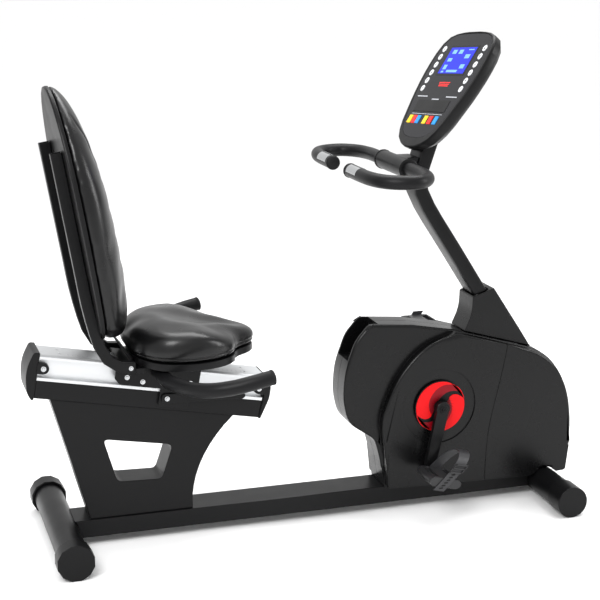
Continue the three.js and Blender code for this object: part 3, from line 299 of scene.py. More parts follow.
def mesh_of(name, shape, outward=True):
    """A bmesh made an ordinary mesh, after its faces are turned to the outside if asked."""
    if outward:
        bmesh.ops.recalc_face_normals(shape, faces=shape.faces)
    mesh = bpy.data.meshes.new(name)
    shape.to_mesh(mesh)
    shape.free()
    return mesh


def link_mesh(name, mesh, material):
    painted(mesh, material)
    piece = bpy.data.objects.new(name, mesh)
    scene.collection.objects.link(piece)
    return piece


def welded_copy(node, joined=True):
    """A frame part as a bmesh: loose triangles sewn up and, if asked, flat ones joined."""
    sewn = bmesh.new()
    sewn.from_mesh(frame["nodes"][node].data)
    bmesh.ops.remove_doubles(sewn, verts=sewn.verts, dist=2e-6)
    if joined:
        flat = math.radians(0.4)
        bmesh.ops.dissolve_limit(sewn, angle_limit=flat, verts=sewn.verts, edges=sewn.edges)
    return sewn


CORNER = 0.6  # an edge is a corner from this angle between its faces, in radians


def rounded_part(node, material, radius, wide_edges=None, wide=0.0, carve=None,
                 joined=True):
    """A copy of one frame part: every edge rounded to radius, the chosen corners to wide."""
    sewn = welded_copy(node, joined)
    weight = sewn.edges.layers.float.new("bevel_weight_edge")
    if wide_edges:
        for edge in sewn.edges:
            if edge.is_convex and edge.calc_face_angle(0) > CORNER and wide_edges(edge):
                edge[weight] = 1.0
    piece = link_mesh(node + "_finished", mesh_of(node + "_finished", sewn, False), material)
    if carve:
        cutter = piece.modifiers.new("carve", "BOOLEAN")
        cutter.object = carve
        cutter.solver = "EXACT"
    if wide_edges:
        sweep_edge = piece.modifiers.new("wide", "BEVEL")
        sweep_edge.limit_method = "WEIGHT"
        sweep_edge.width = wide / 1000
        sweep_edge.segments = 4
        sweep_edge.use_clamp_overlap = False
    if radius > 0:
        edge_round = piece.modifiers.new("edges", "BEVEL")
        edge_round.limit_method = "ANGLE"
        edge_round.angle_limit = math.radians(35)
        edge_round.width = radius / 1000
        edge_round.segments = 2
        edge_round.use_clamp_overlap = False
    plain_mesh(piece)
    smooth_shading(piece.data, 32)
    even_normals = piece.modifiers.new("normals", "WEIGHTED_NORMAL")
    even_normals.keep_sharp = True
    plain_mesh(piece)
    painted(piece.data, material)
    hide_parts(node)
    return settle(piece, BODY[node])


# %% [markdown]
# ## Base, pedestal and track
# Two foot tubes and a flat box rail carry everything. The rubber-like end covers of the foot tubes
# have many flats, and the rear ones turn to level the bike, so only their outward edges are
# rounded and the cup inside stays clear of the tube. The pedestal is folded sheet steel, and the
# track above it a black beam with the alloy slide on top.

# %% Finish the base and the track
def outside_edge(edge):
    """Chooses every corner, of which the helper keeps those that point outwards."""
    return True


for node, radius in (("base_rail", 2.0), ("rear_stabilizer", 0.6), ("front_stabilizer", 0.6),
                     ("seat_post", 2.5), ("seat_beam", 1.5)):
    rounded_part(node, powder_coat, radius)
for side in ("right", "left"):
    rounded_part(f"rear_cap_{side}", moulded, 0, outside_edge, 1.8)
    rounded_part(f"front_cap_{side}", moulded, 0, outside_edge, 2.4)
rounded_part("seat_rail", brushed, 0.5)
rounded_part("rail_cap_rear", moulded, 1.2)
rounded_part("rail_cap_front", moulded, 1.2)
print("base and track finished")

# %% [markdown]
# ## Screws and bolts
# One Geometry Nodes tree makes every bolt of the bike: a button head with a hexagon socket over a
# thin washer. It stands on each point it is given and turns to the direction stored there. Making
# them by nodes means that one change of size reaches them all.

# %% The bolt tree
def new_tree(name, sockets):
    """An empty Geometry Nodes tree with named inputs; returns it with a node-adding helper."""
    tree = bpy.data.node_groups.new(name, "GeometryNodeTree")
    tree.interface.new_socket("Geometry", in_out="INPUT", socket_type="NodeSocketGeometry")
    for label, kind, value in sockets:
        socket = tree.interface.new_socket(label, in_out="INPUT", socket_type=kind)
        if value is not None:
            socket.default_value = value
    tree.interface.new_socket("Geometry", in_out="OUTPUT", socket_type="NodeSocketGeometry")

    def add(kind, wires=None, **settings):
        node = tree.nodes.new(kind)
        for key, value in settings.items():
            setattr(node, key, value)
        for socket, value in (wires or {}).items():
            if isinstance(value, bpy.types.NodeSocket):
                tree.links.new(value, node.inputs[socket])
            else:
                node.inputs[socket].default_value = value
        return node

    return tree, add


def ended(add, geometry, material):
    """Realize Instances and Set Material close every tree."""
    real = add("GeometryNodeRealizeInstances", {"Geometry": geometry})
    coated = add("GeometryNodeSetMaterial",
                 {"Geometry": real.outputs["Geometry"], "Material": material})
    add("NodeGroupOutput", {"Geometry": coated.outputs["Geometry"]})


def scaled(add, value, factor):
    """value × factor, as a Math node's output."""
    return add("ShaderNodeMath", {0: value, 1: factor}, operation="MULTIPLY").outputs[0]


def stamped(tree, add, given, shape):
    """Sets a shape on every given point, turned to the direction stored as "way", and ends."""
    way = add("GeometryNodeInputNamedAttribute", {"Name": "way"}, data_type="FLOAT_VECTOR")
    aimed = add("FunctionNodeAlignRotationToVector", {"Vector": way.outputs["Attribute"]},
                axis="Z")
    copies = add("GeometryNodeInstanceOnPoints",
                 {"Points": given.outputs["Geometry"], "Instance": shape,
                  "Rotation": aimed.outputs["Rotation"]})
    ended(add, copies.outputs["Instances"], given.outputs["Material"])
    return tree


def make_bolt_tree():
    tree, add = new_tree("button_bolts", [("Head Radius", "NodeSocketFloat", 0.006),
                                          ("Material", "NodeSocketMaterial", None)])
    given = add("NodeGroupInput")
    radius = given.outputs["Head Radius"]
    washer = add("GeometryNodeMeshCylinder", {"Vertices": 24, "Radius": scaled(add, radius, 1.35),
                                              "Depth": scaled(add, radius, 0.2)})
    head = add("GeometryNodeMeshCone", {"Vertices": 24, "Radius Bottom": radius,
                                        "Radius Top": scaled(add, radius, 0.72),
                                        "Depth": scaled(add, radius, 0.55)})
    socket = add("GeometryNodeMeshCylinder", {"Vertices": 6, "Radius": scaled(add, radius, 0.4),
                                              "Depth": scaled(add, radius, 0.9)})
    lift = add("ShaderNodeCombineXYZ", {"Z": scaled(add, radius, 0.7)})
    raised = add("GeometryNodeTransform", {"Geometry": socket.outputs["Mesh"],
                                           "Translation": lift.outputs[0]})
    drilled = add("GeometryNodeMeshBoolean", {0: head.outputs["Mesh"],
                                              1: raised.outputs["Geometry"]},
                  operation="DIFFERENCE")
    both = add("GeometryNodeJoinGeometry")
    tree.links.new(washer.outputs["Mesh"], both.inputs[0])
    tree.links.new(drilled.outputs["Mesh"], both.inputs[0])
    return stamped(tree, add, given, both.outputs["Geometry"])


def grown(name, tree, points, values, body, edges=(), ways=None, smooth=38):
    """Runs a tree on given points and keeps the result as a plain mesh on one body."""
    seed = bpy.data.meshes.new(name)
    seed.from_pydata(points, list(edges), [])
    if ways:
        attribute = seed.attributes.new("way", "FLOAT_VECTOR", "POINT")
        attribute.data.foreach_set("vector", [c for way in ways for c in way])
    piece = bpy.data.objects.new(name, seed)
    scene.collection.objects.link(piece)
    build = piece.modifiers.new("build", "NODES")
    build.node_group = tree
    for item in tree.interface.items_tree:
        if item.in_out == "INPUT" and item.name in values:
            build[item.identifier] = values[item.name]
    plain_mesh(piece)
    smooth_shading(piece.data, smooth)
    return settle(piece, body)


bolt_tree = make_bolt_tree()

# %% [markdown]
# ## Where the bolts are
# Each cheek of the carriage shows three, each foot of the backrest tubes one, and each side of the
# stops at the two ends of the slide one. The release lever turns on one more. The cranks get
# theirs later, with their covers.

# %% Set the bolts
RIGHT, LEFT = Vector((0, -1, 0)), Vector((0, 1, 0))


def both_sides(x, y, z, track=False):
    """The same bolt on the right and on the left, each facing outwards."""
    place = on_track if track else at
    return [(place(x, -y, z), RIGHT), (place(x, y, z), LEFT)]


def set_bolts(name, radius, spots, body, material=bright_steel):
    """Bolts with heads of a radius in millimetres, on pairs of a place and a direction."""
    grown(name, bolt_tree, [p for p, _ in spots],
          {"Head Radius": radius / 1000, "Material": material}, body,
          ways=[w for _, w in spots])
    print(name, len(spots))


set_bolts("carriage_bolts", 4.6, both_sides(87, 61.4, 463.5, True)
          + both_sides(128, 61.4, 456, True) + both_sides(250, 61.4, 463.5, True), "seat")
set_bolts("upright_bolts", 4.2, both_sides(172, 107.5, 476), "seat")
set_bolts("stop_bolts", 4.8, both_sides(-119.9, 54.4, 463.5, True)
          + both_sides(433.9, 54.4, 463.5, True), "frame")
set_bolts("lever_bolt", 4.6, [(on_track(195, -68.6, 420), RIGHT)], "release_lever")

# %% [markdown]
# ## The marks on the slide
# The alloy slide carries printed setting marks behind and ahead of the seat, so that a rider can
# find the same place again. A Geometry Nodes tree sets one thin dash on every point, as the
# printer's stencil does.

# %% The marks tree
def make_dash_tree():
    tree, add = new_tree("dashes", [("Size", "NodeSocketVector", (0.001, 0.006, 0.0003)),
                                    ("Material", "NodeSocketMaterial", None)])
    given = add("NodeGroupInput")
    dash = add("GeometryNodeMeshCube", {"Size": given.outputs["Size"]})
    return stamped(tree, add, given, dash.outputs["Mesh"])


dash_tree = make_dash_tree()
square_up = (on_track(0, 0, 1) - on_track(0, 0, 0)).normalized()
MARK_SIDE, SLIDE_TOP, MARK_STEP = -24, 497.35, 12
marks = [on_track(s, MARK_SIDE, SLIDE_TOP)
         for s in (*range(-60, 60, MARK_STEP), *range(290, 390, MARK_STEP))]
grown("slide_marks", dash_tree, marks, {"Size": (0.0012, 0.009, 0.0002), "Material": print_grey},
      "frame", ways=[square_up] * len(marks))
print("slide marks:", len(marks))

# %% [markdown]
# ## The carriage and its lever
# The seat rides on a welded steel carriage with nylon rollers in the channels of the slide. The
# lever at the rider's right frees a shoe that presses on the beam.

# %% Finish the carriage
rounded_part("carriage", powder_coat, 0.8)
for side in ("right", "left"):
    rounded_part(f"upright_{side}", powder_coat, 1.2)
rounded_part("release_lever", moulded, 1.0)
rounded_part("seat_pan", moulded, 1.5)
rounded_part("back_shell", moulded, 2.0)
for node, material in (("lock_shoe", belt_rubber), ("crank_axle", bright_steel),
                       ("drive_pulley", moulded), ("flywheel", cast_iron), ("idler_wheel", nylon),
                       ("brake_arm", bright_steel), ("drive_belt", belt_rubber),
                       ("drive_frame", powder_coat)):
    painted(frame["nodes"][node].data, material)
for end in ("rear", "front"):
    for side in ("right", "left"):
        rounded_part(f"roller_{end}_{side}", nylon, 0.6)

# %% [markdown]
# ## Blowing up a cushion
# A cushion is a block of foam in a sewn cover. The cover pulls the foam round: it bulges between
# its fixed edges. Starting a little small, the block is given an even mesh, and a short cloth
# simulation with air pressure inside swells it, while its base stays glued to the board.

# %% The cushion helpers
def shrunk_copy(node, centre, shrink):
    """A welded copy of a plain cushion block, drawn in towards its middle."""
    sewn = welded_copy(node)
    for vertex in sewn.verts:
        away = vertex.co - centre
        vertex.co = centre + Vector((away.x * shrink.x, away.y * shrink.y, away.z * shrink.z))
    return sewn


def even_mesh(piece, voxel):
    remesh = piece.modifiers.new("remesh", "REMESH")
    remesh.mode = "VOXEL"
    remesh.voxel_size = voxel
    plain_mesh(piece)


def swell(piece, glued, limit, pressure=4.0, frames=20):
    """Cloth with pressure inside; glued(point) says what stays on the board."""
    group = piece.vertex_groups.new(name="glued")
    start = [v.co.copy() for v in piece.data.vertices]
    group.add([i for i, co in enumerate(start) if glued(co)], 1.0, "REPLACE")
    cloth = piece.modifiers.new("cloth", "CLOTH")
    cloth.settings.vertex_group_mass = "glued"
    cloth.settings.use_pressure = True
    cloth.settings.uniform_pressure_force = pressure
    cloth.settings.effector_weights.gravity = 0
    cloth.settings.quality = 5
    cloth.settings.bending_stiffness = 20
    cloth.settings.tension_stiffness = cloth.settings.compression_stiffness = 25
    scene.frame_start, scene.frame_end = 1, frames
    for step in range(1, frames + 1):
        scene.frame_set(step)
    graph = bpy.context.evaluated_depsgraph_get()
    blown = [v.co.copy() for v in piece.evaluated_get(graph).data.vertices]
    piece.modifiers.clear()
    piece.vertex_groups.clear()
    most = 0.0
    for vertex, before, after in zip(piece.data.vertices, start, blown):
        move = after - before
        if move.length > limit:
            move = move.normalized() * limit
        most = max(most, move.length)
        vertex.co = before + move
    scene.frame_set(1)
    print(piece.name, "swelled by up to", round(most * 1000, 1), "mm")


def subdivided(piece, levels=1):
    finer = piece.modifiers.new("finer", "SUBSURF")
    finer.levels = finer.render_levels = levels
    plain_mesh(piece)


def relaxed(piece, passes, strength=0.5):
    """Evens out small bumps, as a stretched cover does."""
    even = piece.modifiers.new("even", "SMOOTH")
    even.iterations = passes
    even.factor = strength
    plain_mesh(piece)


def fitted(piece, low, high, share=0.997):
    """Scales a cushion back to its box, because evening out shrinks it a little."""
    points = [v.co for v in piece.data.vertices]
    for axis in range(3):
        least, most = min(p[axis] for p in points), max(p[axis] for p in points)
        middle, grow = (low[axis] + high[axis]) / 2, share * (high[axis] - low[axis])
        for point in points:
            point[axis] = middle + (point[axis] - (least + most) / 2) * grow / (most - least)


# %% [markdown]
# ## The seat cushion
# A broad saddle of foam: high at the back, a waist before the thighs, two soft lobes at the front
# and a shallow hollow where the rider sits. The vinyl folds under at a welt just above the pan.
# The block gives the outline, the simulation the crown, and a smooth push the saddle.

# %% Make the seat cushion
def bump_at(x, y, cx, cy, rx, ry):
    """1 at the middle of an oval, falling smoothly to 0 at its rim."""
    q = ((x - cx) / rx) ** 2 + ((y - cy) / ry) ** 2
    return max(0.0, 1 - q) ** 2


low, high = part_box("seat_cushion")
seat_middle = (low + high) / 2
sewn = shrunk_copy("seat_cushion", Vector((seat_middle.x, 0, low.z)),
                   Vector((0.992, 0.992, 0.95)))
seat_cover = link_mesh("seat_cover", mesh_of("seat_cover", sewn, False), vinyl)
even_mesh(seat_cover, 0.005)
swell(seat_cover, lambda co: co.z < low.z + 0.006, 0.022)
relaxed(seat_cover, 60)
subdivided(seat_cover)
fitted(seat_cover, low, high)
SADDLE = [(5, 250, 0, 120, 170), (6, 440, 50, 90, 80), (-8, 350, 0, 150, 110)]  # height and oval
WELT_HEIGHT, WELT_WIDTH, WELT_DEPTH = 0.014, 0.0022, 0.003
for vertex in seat_cover.data.vertices:
    x, y = (vertex.co.x - SHIFT) * 1000, abs(vertex.co.y) * 1000
    top = max(0.0, min(1.0, (vertex.co.z - low.z - 0.03) / 0.03))
    push = sum(height * bump_at(x, y, *oval) for height, *oval in SADDLE)
    vertex.co.z += push * top / 1000
    welt = math.exp(-((vertex.co.z - low.z - WELT_HEIGHT) / WELT_WIDTH) ** 2)
    inward = Vector((seat_middle.x - vertex.co.x, -vertex.co.y, 0)).normalized()
    vertex.co += inward * WELT_DEPTH * welt
painted(seat_cover.data, vinyl)
smooth_shading(seat_cover.data, 80)
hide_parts("seat_cushion")
settle(seat_cover, "seat")
print("seat cushion:", len(seat_cover.data.polygons), "faces")

# %% [markdown]
# ## The back cushion
# A tall padded oval, sewn in three panels whose two long seams run closer together towards the
# foot. The vinyl gathers along them in shallow upright folds. The seams are drawn in after the
# swelling, because the even mesh would blur them.

# %% Make the back cushion
BACK_LOW, BACK_LEAN, BACK_FOOT, BOARD_THICK = 541, 0.1645, 101.5, 12.4
low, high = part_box("back_cushion")
sewn = shrunk_copy("back_cushion", (low + high) / 2, Vector((0.97, 0.965, 0.975)))
back_cover = link_mesh("back_cover", mesh_of("back_cover", sewn, False), vinyl)
even_mesh(back_cover, 0.006)


def ahead_of_shell(co):
    """How far in front of the board's plane a point is, in metres."""
    board = BACK_FOOT - (co.z * 1000 - BACK_LOW) * BACK_LEAN + BOARD_THICK
    return co.x - (board / 1000 + SHIFT)


swell(back_cover, lambda co: ahead_of_shell(co) < 0.008, 0.014)
relaxed(back_cover, 50)
subdivided(back_cover)
fitted(back_cover, low, high)


SEAM_FOOT, SEAM_TALL = 0.545, 0.6
SEAM_NARROW, SEAM_SPREAD = 0.028, 0.075
SEAM_WIDTH, SEAM_DEPTH = 0.006, 0.0065
FOLD_REACH, FOLD_DEPTH = 0.03, 0.0011


def seam_place(z):
    """Half the distance between the two long seams at a height, in metres."""
    t = max(0.0, min(1.0, (z - SEAM_FOOT) / SEAM_TALL))
    return SEAM_NARROW + SEAM_SPREAD * t ** 0.8


for vertex in back_cover.data.vertices:
    z, side = vertex.co.z, abs(vertex.co.y)
    front = max(0.0, min(1.0, (ahead_of_shell(vertex.co) - 0.02) / 0.02))
    away = side - seam_place(z)
    seam = math.exp(-(away / SEAM_WIDTH) ** 2)
    gathers = math.sin(z * 95 + 2.5 * noise.noise(Vector((z * 9, side * 40, 1.7))))
    folds = math.exp(-(away / FOLD_REACH) ** 2) * gathers
    vertex.co.x -= front * (SEAM_DEPTH * seam + FOLD_DEPTH * folds)
painted(back_cover.data, vinyl)
smooth_shading(back_cover.data, 80)
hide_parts("back_cushion")
settle(back_cover, "seat")
print("back cushion:", len(back_cover.data.polygons), "faces")

# %% [markdown]
# ## Tubes that follow a path
# The handlebar and the two grab handles are bent tubes in foam sleeves. A Geometry Nodes tree
# turns a line of points into a smooth curve and runs a round section along it, closed at both
# ends, so the same tree serves all three.

# %% The tube tree
def make_tube_tree():
    tree, add = new_tree("bent_tube", [("Radius", "NodeSocketFloat", 0.0175),
                                       ("Step", "NodeSocketFloat", 0.006),
                                       ("Material", "NodeSocketMaterial", None)])
    given = add("NodeGroupInput")
    curve = add("GeometryNodeMeshToCurve", {"Mesh": given.outputs["Geometry"]})
    bent = add("GeometryNodeCurveSplineType", {"Curve": curve.outputs["Curve"]},
               spline_type="CATMULL_ROM")
    fine = add("GeometryNodeSetSplineResolution", {"Geometry": bent.outputs["Curve"],
                                                   "Resolution": 16})
    evenly = add("GeometryNodeResampleCurve", {"Curve": fine.outputs["Geometry"],
                                               "Length": given.outputs["Step"]}, mode="LENGTH")
    ring = add("GeometryNodeCurvePrimitiveCircle", {"Resolution": 36,
                                                    "Radius": given.outputs["Radius"]})
    tube = add("GeometryNodeCurveToMesh", {"Curve": evenly.outputs["Curve"],
                                           "Profile Curve": ring.outputs["Curve"],
                                           "Fill Caps": True})
    ended(add, tube.outputs["Mesh"], given.outputs["Material"])
    return tree


def tube(name, places, radius, material, body, slot):
    """A bent tube through the given places, in metres."""
    edges = [(i, i + 1) for i in range(len(places) - 1)]
    return grown(name, tube_tree, places, {"Radius": radius / 1000, "Material": material}, body,
                 edges=edges, smooth=50)


tube_tree = make_tube_tree()

# %% [markdown]
# ## Handlebar and grab handles
# The bar is a level loop: out from the mast, round in a bow and back to two grips that point at
# each other. Half of its route is drawn, and the other half is its mirror. The grab handles leave
# the carriage, pass beside the seat and rise towards their tips.

# %% Handlebar and grab handles
BAR_HEIGHT, BAR_FRONT, GRIP_END = 930, 895, (748, 60)
PLUG = 7  # how far an end plug stands out of its tube
grip_x, grip_y = GRIP_END[0], GRIP_END[1] + PLUG
bar_half = [(BAR_FRONT, 60), (897, 130), (895, 200), (880, 252), (846, 284), (803, 280),
            (772, 256), (755, 215), (749, 160), (grip_x, grip_y)]
bar_route = [at(x, -y, BAR_HEIGHT) for x, y in reversed(bar_half)]
bar_route += [at(BAR_FRONT, 0, BAR_HEIGHT)] + [at(x, y, BAR_HEIGHT) for x, y in bar_half]
handlebar = tube("handlebar_foam", bar_route, 17.5, grip_foam, "frame", "grip_foam")
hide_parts("handlebar")
handle_route = [(247, 63, 452), (248, 120, 452), (252, 190, 456), (272, 268, 463),
                (312, 328, 472), (360, 358, 483), (410, 370, 495), (455, 371, 504.5)]
for side, hand in (("right", -1), ("left", 1)):
    route = [at(x, hand * y, z) for x, y, z in handle_route]
    grip = tube(f"grab_handle_{side}", route, 18, grip_foam, "seat", "grip_foam")
    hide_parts(f"seat_handle_{side}")
print("tubes made")

# %% [markdown]
# ## Turned pieces
# End plugs, collars and caps are all bodies of revolution. This helper turns a profile, given as
# pairs of radius and height, about an axis through a place.

# %% The turning helper
def bridged(shape, rings):
    """Joins each ring of corners to the next with a band of faces."""
    for one, two in zip(rings, rings[1:]):
        for k in range(len(one)):
            n = (k + 1) % len(one)
            shape.faces.new((one[k], one[n], two[n], two[k]))


def turned(name, profile, place, axis, material, body, sides=40):
    """Revolves (radius, height) pairs in millimetres about an axis through a place."""
    basis = Vector(axis).to_track_quat("Z", "Y").to_matrix()
    shape = bmesh.new()
    rings = []
    for radius, height in profile:
        ring = []
        for k in range(sides):
            a = 2 * math.pi * k / sides
            spot = Vector((radius * math.cos(a), radius * math.sin(a), height)) / 1000
            ring.append(shape.verts.new(place + basis @ spot))
        rings.append(ring)
    bridged(shape, rings)
    shape.faces.new(list(reversed(rings[0])))
    shape.faces.new(rings[-1])
    mesh = mesh_of(name, shape)
    smooth_shading(mesh)
    return settle(link_mesh(name, mesh, material), body)


def dome(radius, height, steps=6):
    """The profile of a low dome, from its rim to its crown."""
    turns = [math.pi / 2 * k / steps for k in range(steps)]
    return [(radius * math.cos(a), height * math.sin(a)) for a in turns] + [(0.4, height)]


plug = [(16, -4), (18.2, -4), (18.6, -3), (18.6, 0.5)]
plug += [(r, 0.5 + h) for r, h in dome(18.2, 6.4)]
collar = [(17, -2), (24, -2), (26, -1), (26, 4), (24.5, 5), (17, 5)]
COLLAR_OUT = 87
for side, hand in (("right", -1), ("left", 1)):
    turned(f"bar_plug_{side}", plug, at(grip_x, hand * grip_y, BAR_HEIGHT), (0, -hand, 0),
           soft_rubber, "frame")
    before_tip, tip = [at(x, hand * y, z) for x, y, z in handle_route[-2:]]
    turned(f"handle_plug_{side}", plug, tip, tip - before_tip, soft_rubber, "seat")
    turned(f"sleeve_collar_{side}", collar, at(BAR_FRONT, hand * COLLAR_OUT, BAR_HEIGHT),
           (0, hand, 0), moulded, "frame")

# %% [markdown]
# ## Pulse plates
# On each inward grip sits a thin bright plate, bent round the top of the tube, that reads the
# rider's pulse. It is a grid of points wrapped about the tube's axis and given a thickness.

# %% Make the pulse plates
def wrapped(name, across, along, lay, thick, material, body, counts=(12, 10)):
    """A bent plate: lay(a, b, n) wraps a grid; thick is its wall in millimetres."""
    shape = bmesh.new()
    na, nb = counts
    layers = []
    for n in (0, thick):
        layers.append([[shape.verts.new(lay(across[0] + (across[1] - across[0]) * i / na,
                                            along[0] + (along[1] - along[0]) * j / nb, n))
                        for j in range(nb + 1)] for i in range(na + 1)])
    under, over = layers
    for i in range(na):
        for j in range(nb):
            for g in (under, over):
                shape.faces.new((g[i][j], g[i + 1][j], g[i + 1][j + 1], g[i][j + 1]))
    rim = [(i, 0) for i in range(na)] + [(na, j) for j in range(nb)]
    rim += [(i, nb) for i in range(na, 0, -1)] + [(0, j) for j in range(nb, 0, -1)]
    for (i, j), (k, m) in zip(rim, rim[1:] + rim[:1]):
        shape.faces.new((under[i][j], under[k][m], over[k][m], over[i][j]))
    mesh = mesh_of(name, shape)
    smooth_shading(mesh)
    return settle(link_mesh(name, mesh, material), body)


PLATE_X, PLATE_RADIUS = 748.6, 17.6  # the grip's middle under the plates, and its outside
for side, hand in (("right", -1), ("left", 1)):
    def round_grip(a, b, n, hand=hand):
        angle, reach = math.radians(a), PLATE_RADIUS + n
        return at(PLATE_X + reach * math.sin(angle), hand * b,
                  BAR_HEIGHT + reach * math.cos(angle))

    for part, degrees in (("front", (8, 88)), ("rear", (-88, -8))):
        wrapped(f"pulse_plate_{part}_{side}", degrees, (82, 150), round_grip, 0.7, bright_steel,
                "frame")
print("plugs, collars and pulse plates made")

# %% [markdown]
# ## Plates that press out of a flat outline
# Printed marks, the screen, the red crank covers and the keys are all thin plates. One helper
# takes outlines on a flat face, and a rule that says where that face lies, and gives them depth.

# %% The plate helper
def plates(name, outlines, under, over, lay, material, body, inset=0.0):
    """Thin solids from outlines: lay(a, b, n) places them; inset slopes their rim."""
    shape = bmesh.new()
    for outline in outlines:
        count = len(outline)
        middle = (sum(p[0] for p in outline) / count, sum(p[1] for p in outline) / count)
        low_ring = [shape.verts.new(lay(a, b, under)) for a, b in outline]
        high_ring = []
        for a, b in outline:
            away = Vector((a - middle[0], b - middle[1]))
            closer = away * max(0.0, 1 - inset / max(away.length, 1e-6))
            spot = lay(middle[0] + closer.x, middle[1] + closer.y, over)
            high_ring.append(shape.verts.new(spot))
        for k in range(count):
            n = (k + 1) % count
            shape.faces.new((low_ring[k], low_ring[n], high_ring[n], high_ring[k]))
        shape.faces.new(list(reversed(low_ring)))
        shape.faces.new(high_ring)
    return settle(link_mesh(name, mesh_of(name, shape), material), body)


def box_outline(a, b, width, height):
    """A rectangle's four corners about its middle."""
    w, h = width / 2, height / 2
    return [(a - w, b - h), (a + w, b - h), (a + w, b + h), (a - w, b + h)]


def eased(points, steps=6):
    """A smooth open line through the given points."""
    dense = []
    for i in range(len(points) - 1):
        p = [Vector(points[max(0, min(len(points) - 1, i + k))]) for k in (-1, 0, 1, 2)]
        for j in range(steps):
            t = j / steps
            dense.append(tuple(0.5 * (2 * p[1] + (p[2] - p[0]) * t
                         + (2 * p[0] - 5 * p[1] + 4 * p[2] - p[3]) * t * t
                         + (3 * p[1] - p[0] - 3 * p[2] + p[3]) * t ** 3)))
    return dense + [tuple(points[-1])]


# %% [markdown]
# ## The crank covers
# Each crank carries a black disc with two red commas that chase each other round the axle. Each
# comma has a bright outer crescent and a deeper red inner band. One half is drawn and the other is
# the same turned half way round.

# %% Make the crank covers
bright_inner = [(68, 19), (56, 43), (38, 56), (12, 59), (-10, 50), (-25, 33), (-33, 13), (-31, -7),
                (-25, -21), (-33, -29), (-45, -30), (-58, -24), (-66, -17)]
band_lower = [(-26, -24), (-19, -11), (-12, 9), (1, 26), (19, 38), (41, 40), (57, 32), (68, 12)]
COMMA_RADIUS = 68.5
rim_arc = [(COMMA_RADIUS * math.cos(a), COMMA_RADIUS * math.sin(a))
           for a in [math.radians(194 - k * 178 / 40) for k in range(41)]]
comma = rim_arc + eased(bright_inner)[1:-1]
band = eased([(66, 19)] + bright_inner[:9]) + eased(band_lower)
boss = [(19, -22), (19, -1.5), (17.5, 0), (12, 0.6), (11, 2.2), (0.4, 2.6)]
DISC_FACE, BOSS_OUT, BOLT_OUT = 80, 104, 107
for side, hand in (("right", -1), ("left", 1)):
    def on_disc(a, b, n, hand=hand):
        """A place on a crank cover; the left cover is the right one's mirror."""
        return at(CRANK_X - hand * a, hand * n, CRANK_Z + b)

    for name, outline, material, height in (("comma", comma, bright_red, 1.6),
                                            ("band", band, deep_red, 1.2)):
        pair = [outline, [(-a, -b) for a, b in outline]]
        plates(f"crank_{name}s_{side}", pair, DISC_FACE - 0.2, DISC_FACE + height, on_disc,
               material, "crankset")
    turned(f"crank_boss_{side}", boss, at(CRANK_X, hand * BOSS_OUT, CRANK_Z), (0, hand, 0),
           moulded, "crankset")
set_bolts("crank_bolts", 7, both_sides(CRANK_X, BOLT_OUT, CRANK_Z), "crankset", powder_coat)

# %% [markdown]
# ## Cranks and pedals
# The pedals are moulded in grey-black plastic with open cages, and a strap holds the foot. The
# frame already has their shapes, so each gets rounded edges and its own grain and gloss.

# %% Finish cranks, pedals and straps
for side in ("right", "left"):
    rounded_part(f"crank_arm_{side}", powder_coat, 1.2)
    rounded_part(f"pedal_{side}", pedal_grey, 1.5)
    rounded_part(f"strap_{side}", strap_grey, 0.5)

# %% [markdown]
# ## Tread ribs, strap slots and buckle
# Small ribs on both bars of a pedal keep a shoe from slipping, and the strap has a row of slots
# for its buckle, drawn as thin dark dashes of painted shade where the holes are. The dash tree
# sets them all, in the tilted frame of each pedal.

# %% Dress the pedals
CRANK_TURN, CRANK_LENGTH = math.radians(12), 168
PEDAL_MIDDLE, PEDAL_FACE = 164, 13.4
STRAP_OUT, STRAP_LEAN = 213.3, 0.62
for side, hand, pitch in (("right", -1, math.radians(14)), ("left", 1, math.pi)):
    cx = CRANK_X + hand * CRANK_LENGTH * math.sin(CRANK_TURN)
    cz = CRANK_Z + hand * CRANK_LENGTH * math.cos(CRANK_TURN)
    c, k = math.cos(pitch), math.sin(pitch)

    def on_pedal(a, b, n, cx=cx, cz=cz, c=c, k=k, hand=hand):
        """a ahead of the pedal's axle, b out from the bike and n up from its middle plane."""
        return at(cx + a * c + n * k, hand * b, cz - a * k + n * c)

    def on_strap(a, n, proud):
        """A place on the strap's outer side, which leans with its height n."""
        return on_pedal(-2 + a + STRAP_LEAN * n, STRAP_OUT + proud, n)

    body = f"pedal_{side}"
    up = (on_pedal(0, 0, 1) - on_pedal(0, 0, 0)).normalized()
    ribs = [on_pedal(a, b, n) for a in (-34.2, -32, 32, 34.2)
            for b in range(132, 204, 8) for n in (PEDAL_FACE, -PEDAL_FACE)]
    grown(f"tread_ribs_{side}", dash_tree, ribs,
          {"Size": (0.0035, 0.0045, 0.002), "Material": pedal_grey}, body,
          ways=[up] * len(ribs))
    # The slots are open holes: these dark dashes are painted shade standing in for them.
    slot_shades = [on_strap(0, n, 0) for n in range(-14, 30, 8)]
    grown(f"strap_slot_shades_{side}", dash_tree, slot_shades,
          {"Size": (0.010, 0.0035, 0.0006), "Material": belt_rubber}, body,
          ways=[Vector((0, hand, 0))] * len(slot_shades))
    buckle_bars = [box_outline(0, 33, 36, 4), box_outline(0, 55, 36, 4),
                   box_outline(-16.5, 44, 3, 26), box_outline(16.5, 44, 3, 26),
                   box_outline(0, 44, 36, 3)]
    plates(f"strap_buckle_{side}", buckle_bars, -1.4, 2.2, on_strap, pedal_grey, body,
           inset=0.8)
    lobe = [(7.5, -44), (8.5, -42), (8.5, 42), (7.5, 44)]
    for end, way in (("rear", -1), ("front", 1)):
        turned(f"pedal_lobe_{end}_{side}", lobe, on_pedal(way * 38, PEDAL_MIDDLE, 0),
               (0, hand, 0), pedal_grey, body, sides=20)
print("pedals dressed")

